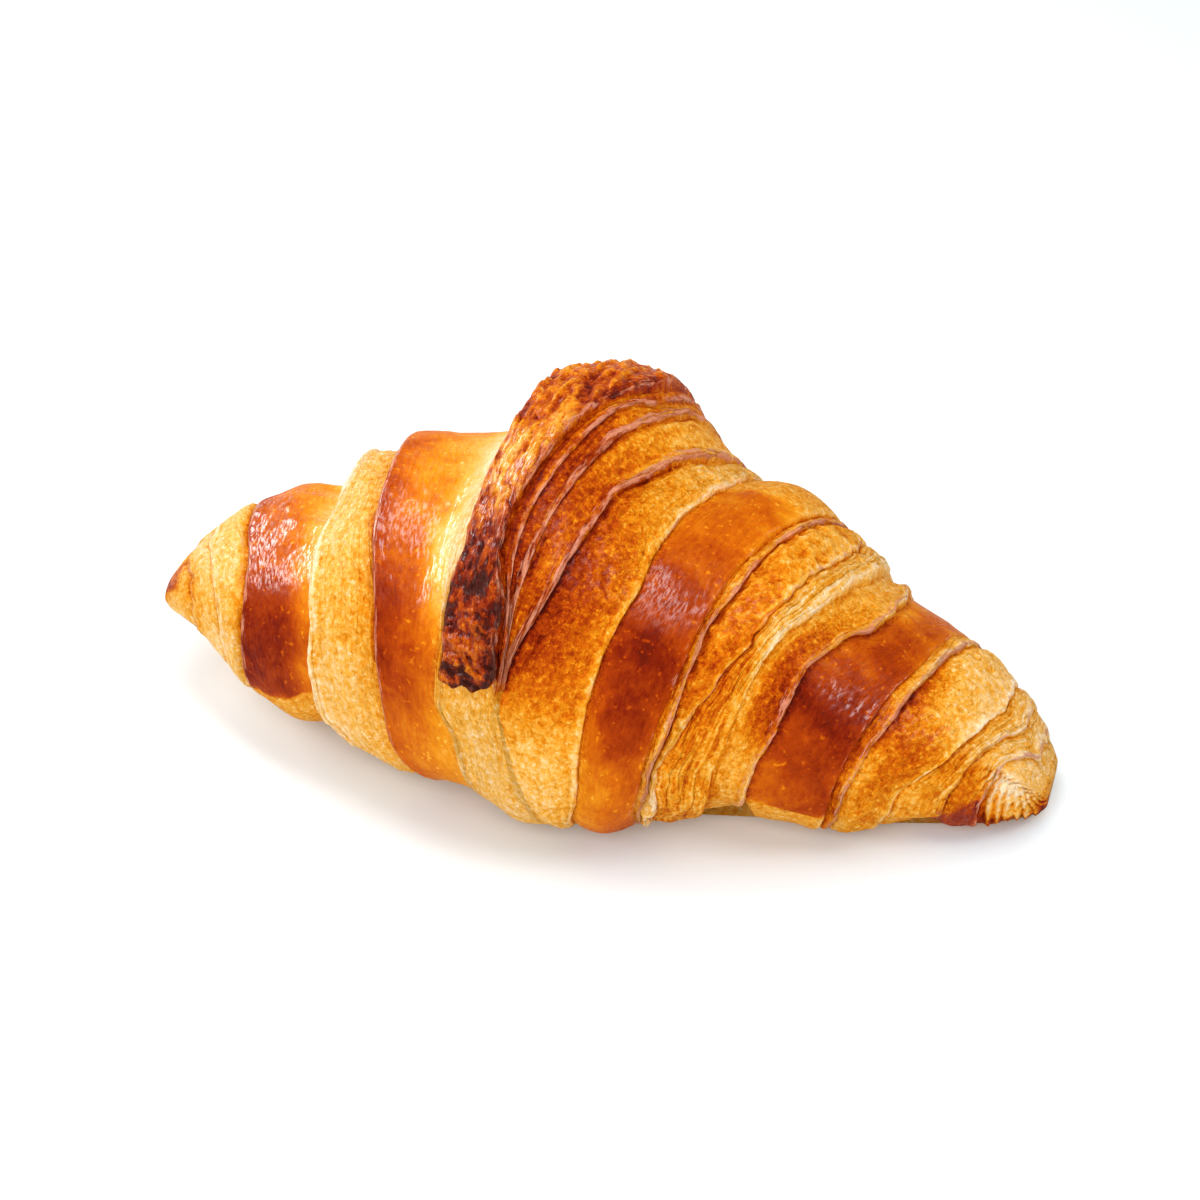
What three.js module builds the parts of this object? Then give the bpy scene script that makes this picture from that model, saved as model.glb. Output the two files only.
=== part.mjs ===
// Straight butter croissant, baked as one solid piece and lying on its pressed-flat underside.
// Millimetres, +Z up, length along X, the tail of the roll hanging down the -Y side.
// The origin is on the table under the middle of the roll.

import * as THREE from 'three';

// ---------------------------------------------------------------- driving dimensions

const CRUST_COLOUR = 0xb8641e;
const CRUST_ROUGHNESS = 0.5;

const HALF_LENGTH = 79.4;
const COLUMNS = 46; // facets around the roll
const UNDERSIDE_SHARE = 0.46; // of the height, below the widest line
const ROUND_TOP = 2.2; // superellipse powers of the upper and lower half
const SQUARE_BOTTOM = 2.9;
const FLAT_CUT = 0.9; // how far the dough is pressed flat on the tray
const TIP_ROUNDING = 3.0;

// The plain spindle of dough before its wraps are added.
const STATIONS = [
  { x: -80, halfWidth: 3, height: 3, underside: 13 },
  { x: -77, halfWidth: 6.5, height: 8.5, underside: 12 },
  { x: -72, halfWidth: 10.5, height: 15.5, underside: 10.8 },
  { x: -66, halfWidth: 15, height: 23.5, underside: 7.8 },
  { x: -57, halfWidth: 21, height: 30.6, underside: 5 },
  { x: -46, halfWidth: 26, height: 40.6, underside: 2 },
  { x: -36, halfWidth: 29, height: 48, underside: 1 },
  { x: -26, halfWidth: 33, height: 48.5, underside: 0 },
  { x: -14, halfWidth: 37, height: 53, underside: 0 },
  { x: -2, halfWidth: 39, height: 55, underside: 0 },
  { x: 8, halfWidth: 38, height: 52, underside: 0 },
  { x: 20, halfWidth: 34, height: 47.4, underside: 0 },
  { x: 32, halfWidth: 30, height: 45.8, underside: 0 },
  { x: 44, halfWidth: 26, height: 38, underside: 0 },
  { x: 55, halfWidth: 21, height: 30.4, underside: 0 },
  { x: 66, halfWidth: 16, height: 23, underside: 0 },
  { x: 74, halfWidth: 12, height: 14.6, underside: 1 },
  { x: 78, halfWidth: 8, height: 7, underside: 2 },
  { x: 80, halfWidth: 4, height: 3, underside: 3.5 },
];

// Each seam winds outward from the middle: [degrees turned, distance from the middle].
// Angles start at the front (-Y) and go up over the top. A lip is where a glossy crust ends,
// a foot is where the open layers beside it meet the next crust.
const SEAMS = {
  rightLip: [[-60, 1], [0, -6.5], [14, -8], [50, -8.4], [60, -10.2], [80, -7.8], [100, -0.6], [130, 6.5],
    [200, 8], [344, 14.4], [400, 20.2], [436, 24.4], [465, 31.2], [500, 36], [640, 40.6], [720, 45.6],
    [784, 52.9], [834, 59], [920, 63], [1000, 66]],
  rightFoot: [[-60, 3], [4, 6.2], [38, 8.2], [70, 11.8], [86, 13.2], [115, 18.8], [200, 24.5], [340, 30.8],
    [381, 36.3], [405, 38.5], [432, 43.9], [448, 48], [475, 50.5], [560, 50]],
  leftLip: [[-60, 10], [14, 18], [50, 18.2], [108, 15], [220, 15], [331, 23.8], [397, 32.5],
    [460, 38], [600, 48], [718, 58.5], [775, 59.8], [844, 64.8], [920, 66]],
  leftFoot: [[-60, 12], [14, 19], [58, 20.8], [130, 20.5], [220, 27], [352, 42.5], [424, 46.5],
    [480, 47], [560, 50]],
};

// Bands from the left tip to the right one. Heights are over the plain spindle: `front` and `back` at the
// band's inner edge, `outer` at its outer edge, and `swell` between them. `side` is -1 left of the tail.
// `back` holds over the top and the upper back only.
const BANDS = [
  { rows: 6, front: -1.5, back: -1.5, outer: -1.0, swell: 1.0, side: -1 },
  { rows: 4, front: -1.8, back: -6.5, outer: 0.4, swell: 0.3, side: -1 },
  { rows: 4, front: -1.7, back: -3.4, outer: 1.2, swell: 0.5, side: -1 },
  { rows: 4, front: -0.4, back: 2.0, outer: 0.5, swell: 0.4, side: -1 },
  { rows: 2, front: -0.4, back: 2.7, outer: 0.1, swell: 0.3, side: -1 },
  { rows: 4, tail: true, side: 1 },
  { rows: 7, hump: true, side: 1 },
  { rows: 4, front: -1.6, back: -1.6, outer: 0.4, swell: 1.8, side: 1 },
  { rows: 6, front: -0.6, back: -0.6, outer: 0.4, swell: 1.2, side: 1 },
  { rows: 4, front: -1.1, back: -3.3, outer: 0.3, swell: 0.3, side: 1 },
  { rows: 7, front: -0.6, back: -0.6, outer: -0.5, swell: 1.2, side: 1 },
];
const WALL = 0.35; // run of the wall below each lip
const INNER_FALL = 0.8; // share of a band over which its inner height eases out
const BACK = { from: 60, to: 210, run: 45 }; // degrees between which `back` holds, and the run at both ends

// The last wrap heaps up over the middle: [degrees, height].
const HUMP = [[-60, 0], [-20, 0], [8, 0.6], [13, 1.5], [30, 3.5], [60, 6.5], [90, 9.5], [120, 8.8],
  [145, 5.5], [160, 3.5], [200, 1], [230, 0]];
const HUMP_FALL = 1.4; // power of its fall towards the right
const HUMP_EDGE = { height: 0.8, run: 0.67 }; // the lip where it ends, and the share of the band it takes

// The tail of the roll lies on the hump and ends as a raised edge on the front.
const TAIL = {
  end: 21, // degrees
  fade: 200, // degrees where it melts into the back, and the run of that
  fadeRun: 30,
  thickness: [[21, 1.8], [60, 1.9], [95, 1.4], [200, 0.8]],
  shoulder: [[60, 0.5], [100, 0.95]], // share of the hump's height at its left edge
};

// The front's lower edge is drawn in unevenly along X: [x, depth].
const TUCK = [[-80, 1.5], [-66, 1.4], [-50, 0.6], [-42, 2.2], [-32, 0.4], [-17, 2], [-4, -1.4], [4, -0.3],
  [21, 2.2], [30, 4], [34, 1.2], [50, 1], [60, 3], [68, 0.8], [80, 0]];
const TUCK_FROM = 5; // degrees below which the tuck begins, and its run down the front
const TUCK_RUN = 40;

// The wraps are pressed smooth outside these angles, towards the tray.
const PRESSED = { front: -60, frontRun: 24, back: 238, backRun: 36 };
const SPIRAL = { from: -60, to: 200, turn: 360 };

// ---------------------------------------------------------------- curves

/** Monotone cubic through knots [at, value]. */
function curve(knots) {
  const count = knots.length;
  const slopes = [];
  for (let i = 0; i < count - 1; i += 1) {
    slopes.push((knots[i + 1][1] - knots[i][1]) / (knots[i + 1][0] - knots[i][0]));
  }
  const tangents = knots.map((knot, i) => {
    if (i === 0) return slopes[0];
    if (i === count - 1) return slopes[count - 2];
    if (slopes[i - 1] * slopes[i] <= 0) return 0;
    return (2 * slopes[i - 1] * slopes[i]) / (slopes[i - 1] + slopes[i]);
  });
  return (at) => {
    const clamped = Math.min(Math.max(at, knots[0][0]), knots[count - 1][0]);
    let i = 0;
    while (i < count - 2 && clamped > knots[i + 1][0]) i += 1;
    const span = knots[i + 1][0] - knots[i][0];
    const t = (clamped - knots[i][0]) / span;
    const t2 = t * t;
    const t3 = t2 * t;
    return (2 * t3 - 3 * t2 + 1) * knots[i][1]
      + (t3 - 2 * t2 + t) * span * tangents[i]
      + (3 * t2 - 2 * t3) * knots[i + 1][1]
      + (t3 - t2) * span * tangents[i + 1];
  };
}

/** Smooth ramp from 0 to 1. */
function ramp(t) {
  const clamped = Math.min(Math.max(t, 0), 1);
  return clamped * clamped * (3 - 2 * clamped);
}

const halfWidthAt = curve(STATIONS.map((s) => [s.x, s.halfWidth]));
const heightAt = curve(STATIONS.map((s) => [s.x, s.height]));
const undersideAt = curve(STATIONS.map((s) => [s.x, s.underside]));
const humpAt = curve(HUMP);
const tailThicknessAt = curve(TAIL.thickness);
const shoulderAt = curve(TAIL.shoulder);
const tuckAt = curve(TUCK);
const seamCurves = Object.fromEntries(Object.entries(SEAMS).map(([name, knots]) => [name, curve(knots)]));

// ---------------------------------------------------------------- the rolled surface

/** Where one seam lies along X at an angle, closed into a ring under the roll. */
function seamAt(name, turns, side, degrees) {
  const at = (angle) => side * seamCurves[name](angle + SPIRAL.turn * turns);
  if (degrees <= SPIRAL.to) return at(degrees);
  const back = ramp((degrees - SPIRAL.to) / (SPIRAL.from + SPIRAL.turn - SPIRAL.to));
  return at(SPIRAL.to) * (1 - back) + at(SPIRAL.from) * back;
}

/** The eleven bands' edges along X at an angle, left tip first. */
function bandEdges(degrees) {
  return [
    -HALF_LENGTH,
    seamAt('leftLip', 2, -1, degrees),
    seamAt('leftFoot', 1, -1, degrees),
    seamAt('leftLip', 1, -1, degrees),
    seamAt('leftFoot', 0, -1, degrees),
    seamAt('leftLip', 0, -1, degrees),
    seamAt('rightLip', 0, 1, degrees),
    seamAt('rightFoot', 0, 1, degrees),
    seamAt('rightLip', 1, 1, degrees),
    seamAt('rightFoot', 1, 1, degrees),
    seamAt('rightLip', 2, 1, degrees),
    HALF_LENGTH,
  ];
}

/** How much of the wraps' relief is left at an angle. */
function reliefShare(degrees) {
  const front = ramp((degrees - PRESSED.front) / PRESSED.frontRun);
  return front * ramp((PRESSED.back - degrees) / PRESSED.backRun);
}

/** Height of a band's surface over the plain spindle; `t` runs from its inner to its outer edge. */
function relief(band, t, degrees) {
  if (band.tail) {
    const lifted = ramp(degrees - TAIL.end + 0.5) * (1 - ramp((degrees - TAIL.fade) / TAIL.fadeRun));
    const shoulder = shoulderAt(degrees);
    return humpAt(degrees) * (shoulder + (1 - shoulder) * ramp(t)) + tailThicknessAt(degrees) * lifted;
  }
  if (band.hump) {
    const lip = reliefShare(degrees) * HUMP_EDGE.height * ramp(t / HUMP_EDGE.run);
    return humpAt(degrees) * (1 - t) ** HUMP_FALL + lip;
  }
  const behind = ramp((degrees - BACK.from) / BACK.run) * ramp((BACK.to - degrees) / BACK.run);
  const inner = band.front + (band.back - band.front) * behind;
  const rise = inner * (1 - ramp(t / INNER_FALL)) + band.outer * t + band.swell * 4 * t * (1 - t);
  return rise * reliefShare(degrees);
}

/** How far the front's lower edge is drawn in. */
function tuck(x, degrees) {
  return tuckAt(x) * ramp((TUCK_FROM - degrees) / TUCK_RUN) * reliefShare(degrees + TUCK_RUN / 2);
}

/** One point of the surface. */
function surfacePoint(x, degrees, height) {
  const angle = THREE.MathUtils.degToRad(degrees);
  const cos = Math.cos(angle);
  const sin = Math.sin(angle);
  const tall = heightAt(x);
  const middle = undersideAt(x) + UNDERSIDE_SHARE * tall;
  const power = 2 / (sin > 0 ? ROUND_TOP : SQUARE_BOTTOM);
  const vertical = (sin > 0 ? 1 - UNDERSIDE_SHARE : UNDERSIDE_SHARE) * tall;
  const y = -halfWidthAt(x) * Math.sign(cos) * Math.abs(cos) ** power;
  const z = vertical * Math.sign(sin) * Math.abs(sin) ** power;
  const raised = height * ramp((HALF_LENGTH - Math.abs(x)) / TIP_ROUNDING) - tuck(x, degrees);
  const push = 1 + raised / Math.hypot(y, z);
  return [x, y * push, Math.max(middle + z * push - FLAT_CUT, 0)];
}

/** Rows of points from the left tip to the right one, each a closed ring around the roll. */
function surfaceRows() {
  const rows = [];
  BANDS.forEach((band, index) => {
    const last = index === BANDS.length - 1;
    for (let step = 0; step <= band.rows; step += 1) {
      if ((index === 0 && step === 0) || (last && step === band.rows)) continue;
      const along = step / band.rows;
      const t = band.side < 0 ? 1 - along : along;
      const ring = [];
      for (let column = 0; column < COLUMNS; column += 1) {
        const degrees = SPIRAL.from + (SPIRAL.turn * column) / COLUMNS;
        const edges = bandEdges(degrees);
        const from = edges[index] + (index > 0 ? WALL : 0);
        const to = edges[index + 1] - (last ? 0 : WALL);
        ring.push(surfacePoint(from + (to - from) * along, degrees, relief(band, t, degrees)));
      }
      rows.push(ring);
    }
  });
  return rows;
}

/** The closed skin: rings joined by triangles, with a fan to a point at each tip. */
function croissantGeometry() {
  const rows = surfaceRows();
  const points = rows.flat();
  const leftTip = points.length;
  const rightTip = points.length + 1;
  for (const ring of [rows[0], rows[rows.length - 1]]) {
    const side = Math.sign(ring[0][0]);
    const z = ring.reduce((sum, point) => sum + point[2], 0) / COLUMNS;
    points.push([side * HALF_LENGTH, 0, z]);
  }
  const index = [];
  for (let row = 0; row < rows.length - 1; row += 1) {
    for (let column = 0; column < COLUMNS; column += 1) {
      const next = (column + 1) % COLUMNS;
      const a = row * COLUMNS + column;
      const b = row * COLUMNS + next;
      const c = a + COLUMNS;
      const d = b + COLUMNS;
      index.push(a, c, b, b, c, d);
    }
  }
  const lastRow = (rows.length - 1) * COLUMNS;
  for (let column = 0; column < COLUMNS; column += 1) {
    const next = (column + 1) % COLUMNS;
    index.push(leftTip, column, next);
    index.push(rightTip, lastRow + next, lastRow + column);
  }
  const geometry = new THREE.BufferGeometry();
  geometry.setAttribute('position', new THREE.Float32BufferAttribute(points.flat(), 3));
  geometry.setIndex(index);
  geometry.computeBoundingBox();
  const centre = geometry.boundingBox.getCenter(new THREE.Vector3());
  geometry.translate(-centre.x, -centre.y, 0);
  geometry.computeVertexNormals();
  return geometry;
}

// ---------------------------------------------------------------- the part

const crust = new THREE.MeshStandardMaterial({
  color: CRUST_COLOUR,
  roughness: CRUST_ROUGHNESS,
  metalness: 0,
});

const croissant = new THREE.Mesh(croissantGeometry(), crust);
croissant.name = 'croissant';

const part = new THREE.Group();
part.name = 'butter_croissant';
part.add(croissant);

export default part;
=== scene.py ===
"""Straight butter croissant: a spiral roll of laminated dough, egg-washed and baked.

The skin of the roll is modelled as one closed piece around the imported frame. Sizes are in millimetres
inside the shape classes and in metres on the finished mesh. Angles around the roll are in degrees from
the front (-Y), up over the top (90) to the back (180).
"""
from __future__ import annotations

import logging
import math
from dataclasses import dataclass, field
from enum import Enum
from functools import reduce

import bpy
import numpy as np
from mathutils import Matrix, Vector

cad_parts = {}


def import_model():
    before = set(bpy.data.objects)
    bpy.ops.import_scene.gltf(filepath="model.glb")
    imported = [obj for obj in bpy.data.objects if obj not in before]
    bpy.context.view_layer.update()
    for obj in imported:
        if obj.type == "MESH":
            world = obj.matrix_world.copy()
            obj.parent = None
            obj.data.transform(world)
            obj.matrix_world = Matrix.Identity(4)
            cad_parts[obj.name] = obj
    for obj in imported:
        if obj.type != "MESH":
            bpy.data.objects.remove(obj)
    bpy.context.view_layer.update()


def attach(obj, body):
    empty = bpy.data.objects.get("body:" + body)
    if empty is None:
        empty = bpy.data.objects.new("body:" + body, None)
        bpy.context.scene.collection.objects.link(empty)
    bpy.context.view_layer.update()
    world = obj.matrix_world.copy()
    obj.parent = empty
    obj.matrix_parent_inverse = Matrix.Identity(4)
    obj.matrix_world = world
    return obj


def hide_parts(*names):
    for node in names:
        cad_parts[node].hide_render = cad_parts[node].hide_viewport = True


LOG = logging.getLogger("croissant")
MM = 0.001
FULL_TURN = 360.0
FOLD_ANGLES = (-60, -20, 0, 20, 40, 50, 60, 70, 80, 95, 110, 130, 160, 200)
Array = np.ndarray
Knots = tuple[tuple[float, float], ...]
Colour = tuple[float, float, float]
Pair = tuple[float, float]
Socket = bpy.types.NodeSocket


# ---------------------------------------------------------------- numbers along and around


def ramp(value: Array) -> Array:
    """Smooth step from 0 to 1."""
    t = np.clip(value, 0.0, 1.0)
    return t * t * (3.0 - 2.0 * t)


def blend(base: Array, other: Array | float, share: Array) -> Array:
    """A share of the way from one value to another."""
    return base * (1.0 - share) + other * share


def fade(distance: Array, run: Array | float) -> Array:
    """1 at no distance, easing to 0 over a run."""
    return 1.0 - ramp(distance / np.maximum(run, 1e-6))


@dataclass(frozen=True)
class Curve:
    """Monotone cubic through knots, flat past both ends."""

    knots: Knots

    def __call__(self, at: Array | float) -> Array:
        """Reads the curve.

        Args:
            at: Places along the curve.

        Returns:
            The curve's values there.
        """
        xs, ys = np.array(self.knots, float).T
        span = np.diff(xs)
        slope = np.diff(ys) / span
        tangent = np.zeros(len(xs))
        tangent[0], tangent[-1] = slope[0], slope[-1]
        turn = slope[:-1] * slope[1:] > 0
        mean = 2.0 * slope[:-1] * slope[1:] / np.where(turn, slope[:-1] + slope[1:], 1.0)
        tangent[1:-1] = np.where(turn, mean, 0.0)
        held = np.clip(np.asarray(at, float), xs[0], xs[-1])
        i = np.clip(np.searchsorted(xs, held) - 1, 0, len(xs) - 2)
        t = (held - xs[i]) / span[i]
        t2, t3 = t * t, t * t * t
        return (
            (2 * t3 - 3 * t2 + 1) * ys[i]
            + (t3 - 2 * t2 + t) * span[i] * tangent[i]
            + (3 * t2 - 2 * t3) * ys[i + 1]
            + (t3 - t2) * span[i] * tangent[i + 1]
        )


@dataclass(frozen=True)
class Step:
    """A smooth step from 0 to 1 where a measure passes a limit; with a negative run it falls from 1 to 0."""

    limit: float
    run: float

    def __call__(self, measure: Array) -> Array:
        """Share of the step that each measure has climbed."""
        return ramp((measure - self.limit) / self.run)


class Grain:
    """Seeded gradient noise on a repeating lattice."""

    CELLS = 32
    GAIN = 1.6
    OCTAVE_SHIFT = 7.3

    def __init__(self, seed: int) -> None:
        """Draws the lattice's gradients.

        Args:
            seed: Number that fixes the draw.
        """
        draw = np.random.default_rng(seed)
        gradients = draw.normal(size=(self.CELLS, self.CELLS, self.CELLS, 3))
        gradients /= np.linalg.norm(gradients, axis=-1, keepdims=True)
        self.gradients = gradients.astype(np.float32)

    def __call__(self, x: Array, y: Array, z: Array) -> Array:
        """Noise between about -1 and 1.

        Args:
            x: Places along the lattice's first axis, in cells.
            y: Places along its second axis.
            z: Places along its third axis.

        Returns:
            The noise at each place.
        """
        place = [np.asarray(a, np.float32) for a in np.broadcast_arrays(x, y, z)]
        cell = [np.floor(a).astype(np.int32) for a in place]
        part = [a - c for a, c in zip(place, cell)]
        ease = [f * f * f * (f * (f * 6 - 15) + 10) for f in part]
        total = np.zeros(place[0].shape, np.float32)
        for corner in range(8):
            step = (corner & 1, corner >> 1 & 1, corner >> 2 & 1)
            index = tuple((c + s) % self.CELLS for c, s in zip(cell, step))
            gradient = self.gradients[index]
            weight = np.ones_like(total)
            for e, s in zip(ease, step):
                weight = weight * (e if s else 1 - e)
            dot = sum(gradient[..., k] * (part[k] - step[k]) for k in range(3))
            total += weight * dot
        return total * self.GAIN

    def layered(self, x: Array, y: Array, z: Array, octaves: int) -> Array:
        """The noise summed over octaves of half the size and half the strength.

        Args:
            x: Places along the lattice's first axis, in cells.
            y: Places along its second axis.
            z: Places along its third axis.
            octaves: Number of octaves.

        Returns:
            The noise at each place.
        """
        total, scale, weight = 0.0, 1.0, 0.0
        for octave in range(octaves):
            shift = self.OCTAVE_SHIFT * octave
            total = total + self(x * scale + shift, y * scale + shift, z * scale + shift) / scale
            weight += 1.0 / scale
            scale *= 2.0
        return total / weight


@dataclass(frozen=True)
class Pattern:
    """Noise with a grain size across and along the bands, a layer of the lattice and a height."""

    across: float
    along: float
    layer: float
    height: float = 1.0
    octaves: int = 1

    def __call__(self, grain: Grain, across: Array, along: Array, offset: Array | float = 0.0) -> Array:
        """Lays the pattern on the skin.

        Args:
            grain: The noise that it is cut from.
            across: Places across the bands.
            along: Places along the bands.
            offset: Number that sets one stretch of skin's noise apart from another's.

        Returns:
            The pattern's height at each place.
        """
        layer = offset + self.layer
        return self.height * grain.layered(across / self.across, along / self.along, layer, self.octaves)


# ---------------------------------------------------------------- seams and bands


class Half(Enum):
    """Side of the roll's middle that a seam or band lies on."""

    LEFT = -1
    RIGHT = 1


class Dough(Enum):
    """What a band of the skin shows."""

    CRUST = "egg-washed crust"
    LAYERS = "open layers"
    TAIL = "rough tail of the roll"


def flat(value: float) -> Knots:
    """Knots of a value that stays the same."""
    return ((0.0, value), (1.0, value))


def even(*values: float) -> tuple[Knots, ...]:
    """Knots of several values that stay the same."""
    return tuple(flat(value) for value in values)


def columns(angles: tuple[float, ...], *values: tuple[float, ...]) -> tuple[Knots, ...]:
    """Knots of several curves that share their angles."""
    return tuple(tuple(zip(angles, column)) for column in values)


@dataclass(frozen=True)
class Seam:
    """A line around the roll where an inner wrap ends on the one beside it.

    `knots` give the distance from the middle against the degrees turned. The wrap on the middle's side
    lies over the other one: `over` lifts its edge and `under` sinks what it covers, each over a run.
    """

    name: str
    half: Half
    knots: Knots
    turns: int = 0
    over: float = 0.4
    over_run: float = 2.5
    under: float = -0.8
    under_run: float = 2.0
    radius: float = 0.5
    undercut: float = 0.12
    tint: float = 0.6
    wander: float = 0.3
    begins: float = -70.0
    begin_run: float = 10.0
    crest_run: float = 1.3
    # Lightens the lip: partly its paler dough, partly a painted highlight that lifts the shaded lip.
    pale_and_highlight: float = 0.0
    # Darkens the trough under the lip: painted shade.
    trough: float = 0.12
    deepen: Knots = flat(1.0)

    SHOWN = 0.84
    SWING = 0.08
    WAVE_LENGTHS = (9.0, 4.3)

    def place(self, degrees: Array, roll: Roll) -> Array:
        """Place of the seam along X, closed into a ring under the roll.

        Args:
            degrees: Angles around the roll.
            roll: The roll that the seam lies on.

        Returns:
            X at each angle.
        """
        curve = Curve(self.knots)
        turned = degrees + FULL_TURN * self.turns
        closing = ramp((degrees - roll.visible_to) / (roll.start + FULL_TURN - roll.visible_to))
        last = curve(roll.visible_to + FULL_TURN * self.turns)
        first = curve(roll.start + FULL_TURN * self.turns)
        distance = np.where(degrees <= roll.visible_to, curve(turned), last + (first - last) * closing)
        return self.half.value * distance

    def strength(self, degrees: Array) -> Array:
        """Share of the seam's relief that shows at each angle; the name's length sets its waves apart.

        Args:
            degrees: Angles around the roll.

        Returns:
            The shares, from 0 to 1.
        """
        (long, short), own = self.WAVE_LENGTHS, len(self.name)
        waves = np.sin(degrees / long + own) + np.sin(degrees / short + 2.0 * own)
        return ramp((degrees - self.begins) / self.begin_run) * (self.SHOWN + self.SWING * waves)


@dataclass(frozen=True)
class Band:
    """The skin between two seams, from the left tip to the right one.

    `tones` hold the bake tone against the angle along the inner edge, the middle and the outer edge. On a
    crust the egg wash reaches from `washed_from`, `washed_rise` higher at the inner edge, to `washed_to`.
    """

    dough: Dough
    half: Half
    rows: int
    swell: float = 0.3
    fibre: float = 0.4
    crumb: float = 0.1
    foam: float = 0.0
    group: int = 0
    tones: tuple[Knots, ...] = even(0.3, 0.3, 0.3)
    washed_from: float = -90.0
    washed_rise: float = 0.0
    washed_to: float = 400.0
    lined_from: float = -90.0


RIGHT_LIP: Knots = (
    (-60, 1), (-20, -3), (0, -6.5), (14, -8), (40, -7.6), (50, -8.4), (60, -10.2), (70, -9.8), (80, -7.8),
    (90, -4.8), (100, -0.6), (110, 3.2), (130, 6.5), (160, 9), (200, 11), (344, 14.4), (360, 15.9),
    (380, 17.9), (400, 20.2), (415, 21.6), (436, 24.4), (448, 27.2), (465, 31.2), (480, 34), (500, 36),
    (560, 37), (640, 40.6), (704, 44.4), (720, 45.6), (741, 47.7), (762, 50.1), (784, 52.9), (800, 55.4),
    (834, 59), (860, 61), (920, 63), (1000, 66),
)
RIGHT_FOOT: Knots = (
    (-60, 3), (-22, 4.6), (4, 6.2), (23, 6.8), (38, 8.2), (54, 9.9), (70, 11.8), (86, 13.2), (100, 16.1),
    (115, 18.8), (130, 20.5), (200, 24.5), (280, 28), (340, 30.8), (356, 32.4), (381, 36.3), (394, 37.5),
    (405, 38.5), (417, 40.4), (432, 43.9), (448, 48), (475, 50.5), (500, 49.5), (560, 50),
)
LEFT_LIP: Knots = (
    (-60, 10), (0, 14.5), (14, 18), (50, 18.2), (80, 17), (108, 15), (150, 14), (220, 15), (290, 19),
    (331, 23.8), (352, 28.2), (374, 30.5), (397, 32.5), (426, 36), (460, 38), (520, 40), (600, 48),
    (660, 55), (700, 58.2), (718, 58.5), (750, 59), (775, 59.8), (810, 63.5), (844, 64.8), (920, 66),
)
LEFT_FOOT: Knots = (
    (-60, 12), (-8, 14.8), (0, 15.8), (14, 19), (45, 20), (58, 20.8), (72, 20.6), (87, 20), (130, 20.5),
    (220, 27), (300, 36), (352, 42.5), (360, 43.5), (393, 44.5), (409, 45.8), (424, 46.5), (437, 45.5),
    (480, 47), (560, 50),
)


def beside(knots: Knots, turns: int, gaps: Knots) -> Knots:
    """Traces a fold that runs beside a seam.

    Args:
        knots: The seam's knots.
        turns: Which of the seam's turns it runs beside.
        gaps: Gap between the two against the angle.

    Returns:
        The fold's knots.
    """
    curve, gap = Curve(knots), Curve(gaps)
    return tuple((a, float(curve(a + FULL_TURN * turns) + gap(a))) for a in FOLD_ANGLES)


@dataclass(frozen=True)
class Heap:
    """The hump that the last wrap heaps over the middle, and the tail of the roll on top of it.

    `rise` is the hump's height against the angle. Across the hump it climbs from the flank left of the tail
    over a shoulder, and falls off beyond the tail. `bake` is the tail's bake tone against the angle.
    """

    rise: Knots = (
        (-60, 0), (-20, 0), (8, 0.6), (13, 1.5), (30, 3.5), (60, 6.5), (90, 9.5), (120, 8.8), (145, 5.5),
        (160, 3.5), (200, 1), (230, 0),
    )
    flank: float = 0.3
    flank_climb: Step = Step(-7.0, 7.0)
    shoulder: float = 0.5
    shoulder_gain: float = 0.45
    shoulder_from: Step = Step(60.0, 40.0)
    shoulder_climb: Step = Step(0.0, 9.0)
    fall_power: float = 1.4
    narrowest_fall: float = 1.0
    tail_end: float = 21.0
    tail_edge: Step = Step(-0.6, 1.2)
    tail_corner: float = 4.0
    tail_ragged: Pattern = Pattern(2.2, 1.0, 4.0, 1.6)
    tail_melts: Step = Step(200.0, 30.0)
    thickness: Knots = ((21, 1.8), (60, 1.8), (80, 1.2), (95, 1.0), (200, 0.8))
    bake: Knots = (
        (20, 0.84), (34, 0.88), (50, 0.94), (62, 0.88), (74, 0.60), (86, 0.54), (100, 0.72), (140, 0.6),
    )


@dataclass(frozen=True)
class Tips:
    """The ribbed fan, browned facet and spots of the two tips, in millimetres along X and degrees around."""

    fan_right: Step = Step(68.0, 1.5)
    fan_top: Step = Step(44.0, -12.0)
    fan_bottom: Step = Step(-36.0, 14.0)
    fan_hub: float = 73.4
    hub_wander: Pattern = Pattern(9.0, 1.0, 1.0, 0.3)
    rib: float = 1.5
    pinch: float = 0.35
    spread_below: float = 46.0
    spread_run: float = 40.0
    facet_left: Step = Step(57.0, 3.0)
    facet_right: Step = Step(70.0, -1.2)
    facet_top: float = -27.0
    facet_slope: float = 3.2
    facet_fade: Step = Step(0.0, -4.0)
    facet_ragged: Pattern = Pattern(2.0, 1.0, 2.0, 2.0)
    end_right: Step = Step(76.5, 2.0)
    end_low: Step = Step(30.0, -10.0)
    spot_x: float = 73.0
    spot_angle: float = 26.0
    spot_height: float = 4.0
    spot_radius: float = 6.0
    hem_low: Step = Step(-2.0, -8.0)
    hem_right: Step = Step(68.0, 2.0)
    swirl_left: Step = Step(-74.5, -2.0)
    swirl_bottom: Step = Step(28.0, 12.0)
    swirl_top: Step = Step(96.0, -20.0)


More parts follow.
